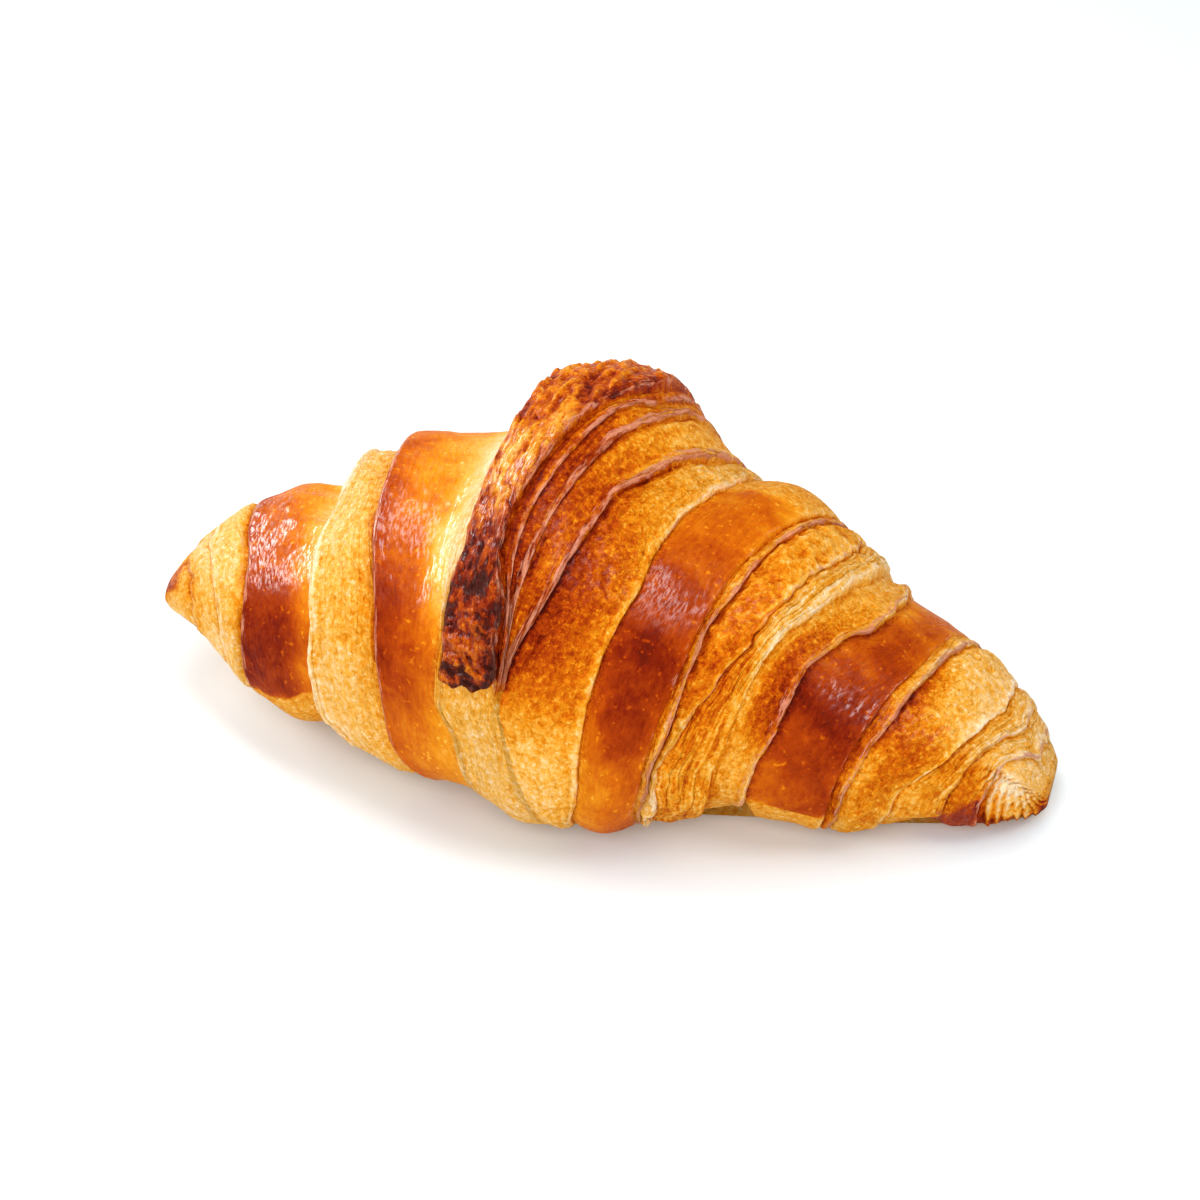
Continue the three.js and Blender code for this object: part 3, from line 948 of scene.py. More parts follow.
    def group_distance(self) -> Array:
        """Measures outward from the seam that starts each group of bands.

        Returns:
            The distance in millimetres.
        """
        total = np.zeros_like(self.x)
        bands = self.roll.bands
        for number, band in enumerate(bands):
            rows = self.owner == number
            group = [i for i, other in enumerate(bands) if other.group == band.group]
            group = [i for i in group if bands[i].half is band.half]
            edge = self.edges[group[0]] if band.half is Half.RIGHT else self.edges[group[-1] + 1]
            total[rows] = np.abs(self.x[rows] - edge)
        return total

    def across(self) -> Array:
        """Measures across the bands from the tail's left edge, unbroken over the seams.

        Returns:
            The distance in millimetres, below zero on the left.
        """
        total = np.zeros_like(self.x)
        for half in Half:
            numbers = [number for number, band in enumerate(self.roll.bands) if band.half is half]
            start = 0.0
            for number in numbers[::half.value]:
                rows = self.owner == number
                span = float(self.width[rows].mean())
                total[rows] = half.value * (start + span * self.inner[rows] / self.width[rows])
                start += span
        return total

    def spindle(self) -> tuple[Array, Array, Array]:
        """The plain roll.

        Returns:
            Y and Z from the roll's own middle line, and the height of that line.
        """
        roll, x = self.roll, self.x
        angle = np.radians(self.angle)
        cos, sin = np.cos(angle), np.sin(angle)
        wide, tall, low = Curve(roll.half_width)(x), Curve(roll.height)(x), Curve(roll.underside)(x)
        power = 2.0 / np.where(sin > 0, roll.round_top, roll.square_bottom)
        vertical = np.where(sin > 0, 1.0 - roll.under_share, roll.under_share) * tall
        y = -wide * np.sign(cos) * np.abs(cos) ** power
        z = vertical * np.sign(sin) * np.abs(sin) ** power
        return y, z, low + roll.under_share * tall

    def fibres(self) -> Array:
        """Places fine lines along the bands: all over the stringy ones, else beside the seams.

        Returns:
            The lines' share, from 0 to 1.
        """
        texture, base = self.texture, self.of_band("fibre")
        inner = texture.fibre_inner_share * fade(self.inner, texture.fibre_inner)
        near = np.maximum(fade(self.outer, texture.fibre_outer), inner)
        begun = ramp((self.angle - self.of_band("lined_from")) / texture.fibre_begin)
        share = np.clip(base * base + base * near * texture.fibre_near, 0.0, 1.0)
        return self.is_dough(Dough.LAYERS) * begun * share

    def washed(self) -> Array:
        """1 on the crust where egg wash reached, ending raggedly above the tray."""
        return self.is_dough(Dough.CRUST) * ramp(self.inner / self.baking.wash_inner) * self.wash_reach()

    def wash_reach(self) -> Array:
        """Bounds the egg wash on each band, with slightly ragged ends.

        Returns:
            1 between the angles that it reached.
        """
        baking = self.baking
        ragged = baking.wash_ragged(self.grain, self.x, 2.0)
        rise = self.of_band("washed_rise") * (1.0 - self.inner / self.width)
        above = self.angle - self.of_band("washed_from") - rise - baking.wash_lower_swing * ragged
        below = self.of_band("washed_to") - self.angle - baking.wash_upper_swing * ragged
        return baking.wash_lower(above) * baking.wash_upper(below)

    def ribs(self) -> Array:
        """The fluted fan pinched together at the right tip.

        Returns:
            Its ribs, from -1 to 1.
        """
        ends = self.ends
        reach = ends.fan_right(self.x) * ends.fan_top(self.angle) * ends.fan_bottom(self.angle)
        below = np.clip((ends.spread_below - self.angle) / ends.spread_run, 0.0, 1.0)
        spread = ends.pinch + (1.0 - ends.pinch) * below
        middle = ends.fan_hub + ends.hub_wander(self.grain, self.angle, 3.0)
        return np.cos(2.0 * math.pi * (self.x - middle) / (ends.rib * spread)) * reach

    def glazed_facet(self) -> Array:
        """The facet low on the right tip where the wash pooled and browned.

        Returns:
            1 on the facet.
        """
        ends = self.ends
        rise = (self.x - ends.facet_left.limit) * ends.facet_slope
        top = ends.facet_top + rise + ends.facet_ragged(self.grain, self.x, 5.0)
        return ends.facet_right(self.x) * ends.facet_left(self.x) * ends.facet_fade(self.angle - top)

    def facing_up(self) -> Array:
        """The shoulder that the wash glosses most.

        Returns:
            1 on the shoulder.
        """
        gloss = self.gloss
        left, right = gloss.leftward(self.x), gloss.rightward(self.x)
        lower = gloss.lower - gloss.right_lower * right - gloss.left_lower * left
        upper = gloss.upper + gloss.left_upper * left - gloss.right_upper * right
        past = ramp((self.angle - upper) / gloss.fall)
        return ramp((self.angle - lower) / gloss.climb) * (1.0 - gloss.lost * past)

    def flaked(self, level: Array) -> Array:
        """Turns a smooth field into flakes that lie on each other with steep edges."""
        step = np.floor(level)
        return step + ramp((level - step) * self.texture.flake_steepness)

    def torn(self, away: Array, arc: Array) -> Array:
        """Flakes of the tail, which lie along it high up and across it near its end.

        Args:
            away: Millimetres across the bands.
            arc: Millimetres along the bands.

        Returns:
            The flakes' level at each place.
        """
        texture, grain, x = self.texture, self.grain, self.x
        low = texture.flake_turn(self.angle)
        upper = texture.upper_flake(grain, away, arc) + texture.upper_chip(grain, x, arc)
        lower = texture.lower_flake(grain, x, arc) + texture.lower_chip(grain, x, arc)
        return self.flaked(blend(upper, lower, low))

    def fine_height(self, arc: Array) -> tuple[Array, Array]:
        """Fine lines, open crumb, blisters and flakes.

        Args:
            arc: Millimetres along the bands.

        Returns:
            The fine height in millimetres, and how deep each place lies in it from 0 to 1.
        """
        texture, grain, x, away = self.texture, self.grain, self.x, self.group_distance()
        layers, tail, washed = self.is_dough(Dough.LAYERS), self.is_dough(Dough.TAIL), self.washed()
        crumbly = np.clip(1.0 - washed - tail, 0.0, 1.0)
        offset = self.of_band("group") * texture.group_offset
        line = texture.line
        bent = away / line.across + texture.sway(grain, away, arc, offset)
        lines = line.height * grain(bent, arc / line.along, offset + line.layer) * self.fibres()
        wave = texture.wave(grain, away, arc, offset) * layers
        net = np.abs(texture.foam(grain, x, arc, offset)) * texture.foam_steepness
        bubbles = (0.5 - np.minimum(net, 1.0)) * self.of_band("foam") * texture.foam_height
        pits = texture.pits(grain, x, arc, offset)
        holes = np.maximum(texture.holes(grain, x, arc, offset) - texture.hole_from, 0.0)
        pitted = pits - texture.hole_depth * holes
        rough = self.of_band("crumb")
        crumb = (lines + bubbles + rough * texture.crumb_height * pitted) * crumbly + wave
        blister = texture.blister(grain, x, arc) + texture.pimple(grain, x, arc)
        wrinkle = texture.wrinkle(grain, away, arc) + texture.wide_wrinkle(grain, away, arc)
        blister = blister + texture.wrinkle_height * wrinkle * self.facing_up()
        torn = self.torn(away, arc)
        rugged = texture.flake_height * torn + texture.tail_pits * pits
        fine = crumb + washed * blister + tail * rugged + texture.rib_height * self.ribs()
        open_depth = texture.line_depth * lines + texture.foam_depth * bubbles
        depth = 0.5 - crumbly * (open_depth + texture.crumb_depth * rough * pitted)
        depth = blend(depth, 0.5 - texture.flake_depth * torn - texture.pit_depth * pits, tail)
        return fine * self._open(self.degrees), np.clip(depth, 0.0, 1.0)

    def seam_tones(self) -> Array:
        """Lips lightened, partly for their paler dough and partly as a painted highlight, and troughs beside
        the seams darkened as painted shade.

        Returns:
            The change in tone.
        """
        change, baking = np.zeros_like(self.x), self.baking
        for number in range(len(self.roll.bands)):
            rows = self.owner == number
            lip, trough = self._seam_of(number, False), self._seam_of(number, True)
            if lip is not None:
                shown = lip.strength(self.degrees)
                change[rows] += baking.lip * lip.pale_and_highlight * fade(self.outer[rows], baking.lip_run) * shown
            if trough is not None:
                shown = trough.strength(self.degrees)
                change[rows] += trough.trough * fade(self.inner[rows], baking.trough_shade_run) * shown
        return change * self._open(self.degrees)

    def band_tones(self) -> Array:
        """Tone from each band's own curves along its edges and middle: mostly bake, with painted shade on the
        heap's band beside its edge fold.

        Returns:
            The tone.
        """
        tone = np.zeros_like(self.x)
        for number, band in enumerate(self.roll.bands):
            rows = self.owner == number
            part = self.inner[rows] / self.width[rows]
            near, far = ramp(1.0 - 2.0 * part), ramp(2.0 * part - 1.0)
            start, middle, end = (Curve(knots)(self.degrees) for knots in band.tones)
            tone[rows] = near * start + (1.0 - near - far) * middle + far * end
        return tone

    def tip_tones(self) -> Array:
        """Browner and paler places at the two tips.

        Returns:
            The change in bake tone.
        """
        ends, baking, x, angle = self.ends, self.baking, self.x, self.angle
        end = ends.end_right(x) * ends.end_low(angle)
        away = np.hypot(x - ends.spot_x, (angle - ends.spot_angle) / ends.spot_height)
        spot = ramp(1.0 - away / ends.spot_radius)
        hem = ends.hem_low(angle) * ends.hem_right(x)
        swirl = ends.swirl_left(x) * ends.swirl_bottom(angle) * ends.swirl_top(angle)
        tone = baking.rib * self.ribs() + baking.end * end + baking.spot * spot + baking.hem * hem
        return tone + baking.swirl * swirl

    def char(self, tail: Array) -> Array:
        """Scorched places of the tail: its edges and patches low on the front, and one drop higher up.

        Args:
            tail: 1 on the tail.

        Returns:
            The char from 0 to 1.
        """
        baking = self.baking
        inner = baking.char_inner_share * fade(self.inner, baking.char_inner)
        edge = np.maximum(fade(self.outer, baking.char_outer), inner)
        edge = np.maximum(edge, fade(self.past_tail_end(), baking.char_end))
        patches = baking.char_patches(self.grain, self.x, self.angle)
        across = (self.inner / self.width - baking.drop_part) / baking.drop_width
        along = (self.angle - baking.drop_angle) / baking.drop_height
        drop = ramp(baking.drop_reach - np.hypot(across, along))
        burnt = baking.char_base + baking.char_edge * edge + baking.char_patch * patches
        return tail * np.clip(baking.char_low(self.angle) * burnt + baking.drop * drop, 0.0, 1.0)

    def tones(self) -> dict[str, Array]:
        """Everything that the material reads off the skin, each from 0 to 1.

        Returns:
            The tone of bake, painted shade and highlight, the masks of wash, char, gloss, fine lines and
            tail, and where to keep every face.
        """
        baking, gloss, degrees = self.baking, self.gloss, self.degrees
        layers, tail, washed = self.is_dough(Dough.LAYERS), self.is_dough(Dough.TAIL), self.washed()
        facet, facing, char = self.glazed_facet(), self.facing_up(), self.char(tail)
        tone = self.band_tones() + layers * Curve(baking.front)(degrees)
        tone = blend(tone, baking.bare, self.is_dough(Dough.CRUST) * (1.0 - self.wash_reach()))
        # Beside the seams the tone holds a painted highlight on the lips and painted shade in the troughs.
        tone = tone + self.seam_tones() + baking.mottle(self.grain, self.x, self.angle) + self.tip_tones()
        tone = blend(tone, baking.facet, facet)
        tone = blend(tone, Curve(self.heap.bake)(degrees), tail)
        tone = tone + baking.tail_edge * tail * fade(self.outer, baking.tail_edge_run)
        tone = blend(tone, baking.tray, 1.0 - self._open(degrees))
        near = ramp(1.0 - np.abs(self.angle - gloss.tail_angle) / gloss.tail_height)
        glossy = washed * facing + gloss.facet * facet + gloss.layers * layers * facing
        glossy = glossy + tail * (1.0 - gloss.charred * char) * (gloss.tail + gloss.tail_gain * near)
        return {
            "tone": np.clip(tone, 0.0, 1.0),
            "wash": np.clip(np.maximum(washed, baking.facet_wash * facet), 0.0, 1.0),
            "scorch": char,
            "gloss": np.clip(glossy, 0.0, 1.0),
            "fibre": self.fibres(),
            "rough": tail,
            "keep": np.maximum(washed * facing, tail * gloss.tail_fine(self.angle)),
        }

    def bake(self) -> Skin:
        """Puts the skin together.

        Returns:
            The finished skin.
        """
        roll, x = self.roll, self.x
        y, z, middle = self.spindle()
        arc = np.radians(self.angle) * (roll.arc_base + roll.arc_share * Curve(roll.half_width)(x))
        folds, shift, crest = self.folded_height()
        fine, depth = self.fine_height(arc)
        round_tip = ramp((roll.half_length - np.abs(x)) / roll.tip_rounding)
        drawn_in = roll.tuck_below(self.angle) * self._open(self.angle + roll.tuck_open)
        raised = (folds + self.heap_height() + fine) * round_tip - Curve(roll.tuck)(x) * drawn_in
        push = 1.0 + raised / np.hypot(y, z)
        height = np.maximum(middle + z * push - roll.flat_cut, 0.0)
        points = np.stack([x + shift * round_tip, y * push + roll.shift_y, height], axis=-1)
        tips = np.array([
            [-roll.half_length, roll.shift_y, height[0].mean()],
            [roll.half_length, roll.shift_y, height[-1].mean()],
        ])
        masks = self.tones() | {"crest": crest, "depth": depth}
        return Skin(points, tips, masks, np.stack([self.across(), arc, np.zeros_like(arc)], axis=-1))


# ---------------------------------------------------------------- the piece


def alone(piece: bpy.types.Object) -> None:
    """Selects one object and nothing else.

    Args:
        piece: The object.
    """
    bpy.ops.object.select_all(action="DESELECT")
    piece.select_set(True)
    bpy.context.view_layer.objects.active = piece


@dataclass
class BakedRoll:
    """The croissant's skin as one closed mesh."""

    skin: Skin
    name: str = "baked_roll"
    faces_kept: int = 196_000
    join_distance: float = 1e-6
    crease_angle: float = 60.0
    keep_from: float = 0.5

    def build(self) -> bpy.types.Object:
        """Rolls a flat sheet of dough into the croissant.

        Returns:
            The finished piece, at the origin and unturned.
        """
        rows, columns = self.skin.points.shape[:2]
        bpy.ops.object.select_all(action="DESELECT")
        bpy.ops.mesh.primitive_grid_add(
            x_subdivisions=rows + 1, y_subdivisions=columns, size=2.0, calc_uvs=False
        )
        piece = bpy.context.active_object
        piece.name = piece.data.name = self.name
        self._wrap(piece.data)
        self._thin(piece)
        self._smooth(piece)
        return piece

    def _wrap(self, mesh: bpy.types.Mesh) -> None:
        """Moves each vertex of the sheet to its place on the skin and stores the masks.

        Args:
            mesh: The flat sheet's mesh.
        """
        rows, columns = self.skin.points.shape[:2]
        count = len(mesh.vertices)
        places = np.empty(count * 3, np.float32)
        mesh.vertices.foreach_get("co", places)
        places = places.reshape(-1, 3)
        row = np.rint((places[:, 0] + 1.0) / 2.0 * (rows + 1)).astype(int) - 1
        column = np.rint((places[:, 1] + 1.0) / 2.0 * columns).astype(int) % columns
        ring = np.clip(row, 0, rows - 1)
        moved = self.skin.points[ring, column]
        moved = np.where((row < 0)[:, None], self.skin.tips[0], moved)
        moved = np.where((row >= rows)[:, None], self.skin.tips[1], moved)
        mesh.vertices.foreach_set("co", (moved * MM).astype(np.float32).ravel())
        for name, mask in self.skin.masks.items():
            layer = mesh.attributes.new(name, "FLOAT", "POINT")
            layer.data.foreach_set("value", mask[ring, column].astype(np.float32))
        layer = mesh.attributes.new("flow", "FLOAT_VECTOR", "POINT")
        layer.data.foreach_set("vector", self.skin.flow[ring, column].astype(np.float32).ravel())
        mesh.update()

    def _thin(self, piece: bpy.types.Object) -> None:
        """Thins flat stretches of the skin to keep the face count down.

        Args:
            piece: The wrapped skin.
        """
        alone(piece)
        bpy.ops.object.mode_set(mode="EDIT")
        bpy.ops.mesh.select_all(action="SELECT")
        bpy.ops.mesh.remove_doubles(threshold=self.join_distance)
        bpy.ops.mesh.normals_make_consistent(inside=False)
        bpy.ops.object.mode_set(mode="OBJECT")
        triangles = sum(len(face.vertices) - 2 for face in piece.data.polygons)
        if triangles > self.faces_kept:
            keep = np.empty(len(piece.data.vertices), np.float32)
            piece.data.attributes["keep"].data.foreach_get("value", keep)
            plain = piece.vertex_groups.new(name="plain")
            plain.add(np.flatnonzero(keep < self.keep_from).tolist(), 1.0, "REPLACE")
            thinner = piece.modifiers.new("thinner", "DECIMATE")
            thinner.vertex_group = plain.name
            thinner.ratio = self.faces_kept / triangles
            bpy.ops.object.modifier_apply(modifier=thinner.name)

    def _smooth(self, piece: bpy.types.Object) -> None:
        """Shades the skin smooth except at sharp lips."""
        alone(piece)
        bpy.ops.object.shade_smooth_by_angle(angle=math.radians(self.crease_angle))


# ---------------------------------------------------------------- finishes


@dataclass(frozen=True)
class Speckle:
    """A noise texture's grain, per metre of the piece, or per millimetre of flow where it's stretched.

    `along` is the stretch: the share of its fineness that is left along the bands.
    """

    scale: float
    detail: float = 2.0
    roughness: float = 0.5
    twist: float = 0.0
    along: float | None = None


@dataclass(frozen=True)
class BakedDough:
    """Colours and gloss of egg-washed, baked butter dough, with painted highlights and painted shade in some
    of its colours.

    `bake` holds the colour at each bake tone, from pale crumb to nearly burnt crust. Fields that end in `_at`
    are the stretches of a noise or mask over which a feature comes up. The other pairs hold a strength on
    bare dough and one on washed crust.
    """

    name: str = "baked_dough"
    bake: tuple[tuple[float, Colour], ...] = (
        (0.0, (0.95, 0.72, 0.46)),
        (0.15, (0.91, 0.57, 0.235)),
        (0.30, (0.85, 0.41, 0.055)),
        (0.45, (0.74, 0.25, 0.006)),
        (0.60, (0.57, 0.115, 0.001)),
        (0.75, (0.37, 0.042, 0.0008)),
        (0.90, (0.19, 0.011, 0.0006)),
        (1.0, (0.085, 0.005, 0.001)),
    )
    crest: Colour = (0.68, 0.26, 0.15)
    # Dark colour between the crest strands: painted shade in the crevices.
    crevice_shade: Colour = (0.30, 0.045, 0.006)
    char: Colour = (0.055, 0.010, 0.006)
    crumb: Speckle = Speckle(1000.0, 3.0, 0.6, 0.5)
    patch: Speckle = Speckle(170.0, 4.0, 0.62, 0.4)
    # Grain of the pale flecks on the crust, a painted sheen.
    sheen_dots: Speckle = Speckle(900.0, 1.0)
    pore: Speckle = Speckle(1300.0, 2.0, 0.6)
    thread: Speckle = Speckle(1.7, 3.0, 0.6, along=0.06)
    wrinkle: Speckle = Speckle(1.5, 3.0, 0.6, along=0.3)
    fuzz: Speckle = Speckle(1.3, 3.0, 0.65, 1.4, along=0.4)
    contour: Speckle = Speckle(0.3, along=0.1)
    wisp: Speckle = Speckle(3.0, 3.0, 0.65, along=0.09)
    streak: Speckle = Speckle(2.3, 2.0, 0.6, along=0.3)
    streak_at: Pair = (0.44, 0.60)
    # The glints are raised crumb specks painted paler: a painted highlight.
    painted_glint_at: Pair = (0.56, 0.68)
    sheen_fleck_at: Pair = (0.66, 0.74)
    vein_at: Pair = (0.004, 0.016)
    crest_at: Pair = (0.05, 0.3)
    most_crest: float = 0.85
    strand_at: Pair = (0.46, 0.74)
    ply_at: Pair = (0.42, 0.56)
    char_at: Pair = (0.45, 0.95)
    crumb_tone: Pair = (0.55, 0.12)
    patch_tone: Pair = (0.1, 0.45)
    thread_tone: float = 0.9
    wrinkle_tone: float = 0.16
    # Raised fuzz of the bare dough is painted paler: a painted highlight.
    fuzz_highlight: float = -0.4
    painted_glint_tone: float = -0.15
    sheen_fleck_tone: float = -0.16
    vein_tone: float = 0.09
    # Deep places painted darker and raised ones paler: painted shade and painted highlight, strongest on the
    # tail.
    depth_shade_and_highlight: Pair = (0.24, 0.42)
    crest_ragged: float = 2.2
    crumb_burn: float = 0.6
    # Char reaches further into the hollows: partly char, partly painted shade.
    hollow_char_and_shade: float = 0.7
    most_char: float = 0.9
    base_roughness: Pair = (0.6, 0.5)
    crumb_roughness: float = 0.25
    specular: float = 0.03
    coat: float = 1.0
    coat_low: float = 0.04
    coat_roughness: float = 0.2
    coat_ior: float = 1.7
    wrinkle_bump: Pair = (0.2, 1.0)
    crumb_bump: Pair = (0.8, 0.25)
    fuzz_bump: float = 1.2
    pore_bump: Pair = (0.35, 0.12)
    thread_bump: float = 0.9
    crest_bump: float = 1.6
    vein_bump: float = 0.5
    bump_strength: float = 0.9
    bump_distance: float = 0.0006


class Nodes:
    """Short way to place and join shader nodes."""

    def __init__(self, tree: bpy.types.NodeTree) -> None:
        """Keeps the tree that nodes are placed in."""
        self.tree = tree

    def add(self, kind: str, **settings: object) -> bpy.types.Node:
        """Places a node.

        Args:
            kind: The node's type.
            settings: Properties to set on it.

        Returns:
            The node.
        """
        node = self.tree.nodes.new(kind)
        for key, value in settings.items():
            setattr(node, key, value)
        return node

    def feed(self, socket: bpy.types.NodeSocket, value: object) -> None:
        """Joins a socket to another one, or sets its number or colour.

        Args:
            socket: The input socket.
            value: An output socket, a number or a colour.
        """
        if isinstance(value, bpy.types.NodeSocket):
            self.tree.links.new(value, socket)
        else:
            socket.default_value = value

    def math(self, operation: str, a: object, b: object = 0.0, clamp: bool = False) -> Socket:
        """Places a math node.

        Args:
            operation: What it does.
            a: Its first value.
            b: Its second value.
            clamp: Whether its result is held between 0 and 1.

        Returns:
            The result.
        """
        node = self.add("ShaderNodeMath", operation=operation, use_clamp=clamp)
        self.feed(node.inputs[0], a)
        self.feed(node.inputs[1], b)
        return node.outputs[0]

    def total(self, first: object, *others: object) -> Socket:
        """Sum of two or more values."""
        return reduce(lambda a, b: self.math("ADD", a, b), others, first)

    def times(self, a: object, b: object) -> Socket:
        """Product of two values."""
        return self.math("MULTIPLY", a, b)

    def swing(self, value: object, amount: object) -> Socket:
        """A value from 0 to 1 turned into a swing about zero."""
        return self.times(self.math("SUBTRACT", value, 0.5), amount)

    def range(self, value: object, at: Pair, to: Pair = (0.0, 1.0)) -> Socket:
        """Maps one range of numbers to another, held at its ends.

        Args:
            value: The value to map.
            at: The range that it comes from.
            to: The range that it goes to.

        Returns:
            The mapped value.
        """
        node = self.add("ShaderNodeMapRange")
        for socket, number in zip(node.inputs[:5], (value, *at, *to)):
            self.feed(socket, number)
        return node.outputs[0]

    def mix(self, factor: object, a: object, b: object) -> Socket:
        """Places a colour between two others.

        Args:
            factor: Share of the second colour.
            a: The first colour.
            b: The second colour.

        Returns:
            The mixed colour.
        """
        node = self.add("ShaderNodeMix", data_type="RGBA")
        self.feed(node.inputs["Factor"], factor)
        self.feed(node.inputs[6], a)
        self.feed(node.inputs[7], b)
        return node.outputs[2]

    def mask(self, name: str) -> Socket:
        """One of the skin's stored masks."""
        return self.add("ShaderNodeAttribute", attribute_name=name).outputs["Fac"]

    def ramp(self, level: object, stops: tuple[tuple[float, Colour], ...]) -> Socket:
        """Reads a colour off a row of stops.

        Args:
            level: Where to read it.
            stops: Places and colours of the stops.

        Returns:
            The colour.
        """
        node = self.add("ShaderNodeValToRGB")
        self.feed(node.inputs[0], level)
        elements = node.color_ramp.elements
        elements.remove(elements[1])
        for index, (at, rgb) in enumerate(stops):
            element = elements[0] if index == 0 else elements.new(at)
            element.position = at
            element.color = solid(rgb)
        return node.outputs[0]


def solid(rgb: Colour) -> tuple[float, float, float, float]:
    """A colour with full alpha."""
    return (*rgb, 1.0)


@dataclass
class DoughFinish:
    """Builds the dough's material: the skin's masks and fine noise drive colour, gloss and bump."""

    look: BakedDough = field(default_factory=BakedDough)

    def __post_init__(self) -> None:
        """Makes the material and places the masks and noises that several of its parts share."""
        look = self.look
        self.material = bpy.data.materials.new(look.name)
        self.material.use_nodes = True
        self.nodes = Nodes(self.material.node_tree)
        self.place = self.nodes.add("ShaderNodeTexCoord").outputs["Object"]
        self.flow = self.nodes.add("ShaderNodeAttribute", attribute_name="flow").outputs["Vector"]
        self.wash, self.fibre = self.nodes.mask("wash"), self.nodes.mask("fibre")
        self.crest, self.depth = self.nodes.mask("crest"), self.nodes.mask("depth")
        self.bare = self.by_wash((1.0, 0.0))
        self.crumb, self.pore = self.speckle(look.crumb), self.speckle(look.pore)
        self.wrinkle, self.fuzz = self.speckle(look.wrinkle), self.speckle(look.fuzz)
        self.thread, self.wisp = self.speckle(look.thread), self.speckle(look.wisp)
        self.vein = self.veins()

    def build(self) -> bpy.types.Material:
        """Joins the parts to the shader.

        Returns:
            The finished material.
        """
        look, shader = self.look, self.material.node_tree.nodes["Principled BSDF"]
        self.nodes.feed(shader.inputs["Base Color"], self.colour())
        self.nodes.feed(shader.inputs["Roughness"], self.roughness())
        self.nodes.feed(shader.inputs["Coat Weight"], self.coat())
        self.nodes.feed(shader.inputs["Normal"], self.bump())
        shader.inputs["Coat IOR"].default_value = look.coat_ior
        shader.inputs["Coat Roughness"].default_value = look.coat_roughness
        shader.inputs["Specular IOR Level"].default_value = look.specular
        return self.material

    def by_wash(self, pair: Pair) -> Socket:
        """A strength that differs between bare dough and washed crust."""
        return self.nodes.range(self.wash, (0.0, 1.0), pair)

    def speckle(self, speckle: Speckle) -> Socket:
        """Places a noise.

        Args:
            speckle: Its grain.

        Returns:
            The noise, from 0 to 1.
        """
        place = self.place
        if speckle.along is not None:
            stretch = self.nodes.add("ShaderNodeVectorMath", operation="MULTIPLY")
            self.nodes.feed(stretch.inputs[0], self.flow)
            stretch.inputs[1].default_value = (1.0, speckle.along, 1.0)
            place = stretch.outputs[0]
        node = self.nodes.add("ShaderNodeTexNoise")
        self.nodes.feed(node.inputs["Vector"], place)
        node.inputs["Scale"].default_value = speckle.scale
        node.inputs["Detail"].default_value = speckle.detail
        node.inputs["Roughness"].default_value = speckle.roughness
        node.inputs["Distortion"].default_value = speckle.twist
        return node.outputs["Fac"]

    def veins(self) -> Socket:
        """Places thin lines along the stringy bare bands, where a stretched noise crosses its middle.

        Returns:
            The lines, from 0 to 1.
        """
        nodes = self.nodes
        off = nodes.math("ABSOLUTE", nodes.math("SUBTRACT", self.speckle(self.look.contour), 0.5))
        lines = nodes.range(off, self.look.vein_at, (1.0, 0.0))
        return nodes.times(nodes.times(lines, self.fibre), self.bare)

    def level(self) -> Socket:
        """Varies the bake tone by every noise, paints highlights on glints, crust flecks and raised fuzz, and
        paints shade into the hollows by the depth.

        Returns:
            The tone of bake, painted highlight and shade, from 0 to 1.
        """
        look, nodes = self.look, self.nodes
        sheen_dots = self.speckle(look.sheen_dots)
        vary = nodes.total(
            nodes.swing(self.crumb, self.by_wash(look.crumb_tone)),
            nodes.swing(self.speckle(look.patch), self.by_wash(look.patch_tone)),
            nodes.swing(self.thread, nodes.times(self.fibre, look.thread_tone)),
            nodes.swing(self.wrinkle, nodes.times(self.wash, look.wrinkle_tone)),
            # Raised fuzz painted paler: a painted highlight.
            nodes.swing(self.fuzz, nodes.times(self.bare, look.fuzz_highlight)),
            # Glints: raised crumb specks painted paler, a painted highlight.
            nodes.times(nodes.range(self.pore, look.painted_glint_at, (0.0, look.painted_glint_tone)), self.bare),
            # Flecks: pale specks on the crust, painted sheen.
            nodes.times(nodes.range(sheen_dots, look.sheen_fleck_at, (0.0, look.sheen_fleck_tone)), self.wash),
            nodes.times(self.vein, look.vein_tone),
        )
        # Painted shade in the hollows and painted highlight on the raised flakes, by the depth.
        painted_depth_shading = nodes.swing(self.depth, nodes.range(nodes.mask("rough"), (0.0, 1.0), look.depth_shade_and_highlight))
        return nodes.math("ADD", nodes.total(nodes.mask("tone"), vary), painted_depth_shading, clamp=True)

    def colour(self) -> Socket:
        """Lays reddish strands on the crests, with painted shade in the crevices between them, and char on
        the scorched places.

        Returns:
            The baked colour.
        """
        look, nodes = self.look, self.nodes
        strand = nodes.total(self.crest, nodes.swing(self.wisp, look.crest_ragged))
        near = nodes.range(self.crest, look.crest_at, (0.0, look.most_crest))
        rim = nodes.times(nodes.range(strand, look.strand_at), near)
        # The strands' own mauve, with painted shade in the crevices between them.
        ply = nodes.mix(nodes.range(self.wisp, look.ply_at), solid(look.crevice_shade), solid(look.crest))
        base = nodes.mix(rim, nodes.ramp(self.level(), look.bake), ply)
        burnt = nodes.total(
            nodes.mask("scorch"),
            nodes.swing(self.crumb, look.crumb_burn),
            # Deeper places char more: partly char, partly painted shade in the hollows.
            nodes.swing(self.depth, look.hollow_char_and_shade),
        )
        return nodes.mix(nodes.range(burnt, look.char_at, (0.0, look.most_char)), base, solid(look.char))

    def roughness(self) -> Socket:
        """Roughness under the coat."""
        crumb = self.nodes.swing(self.crumb, self.look.crumb_roughness)
        return self.nodes.total(self.by_wash(self.look.base_roughness), crumb)

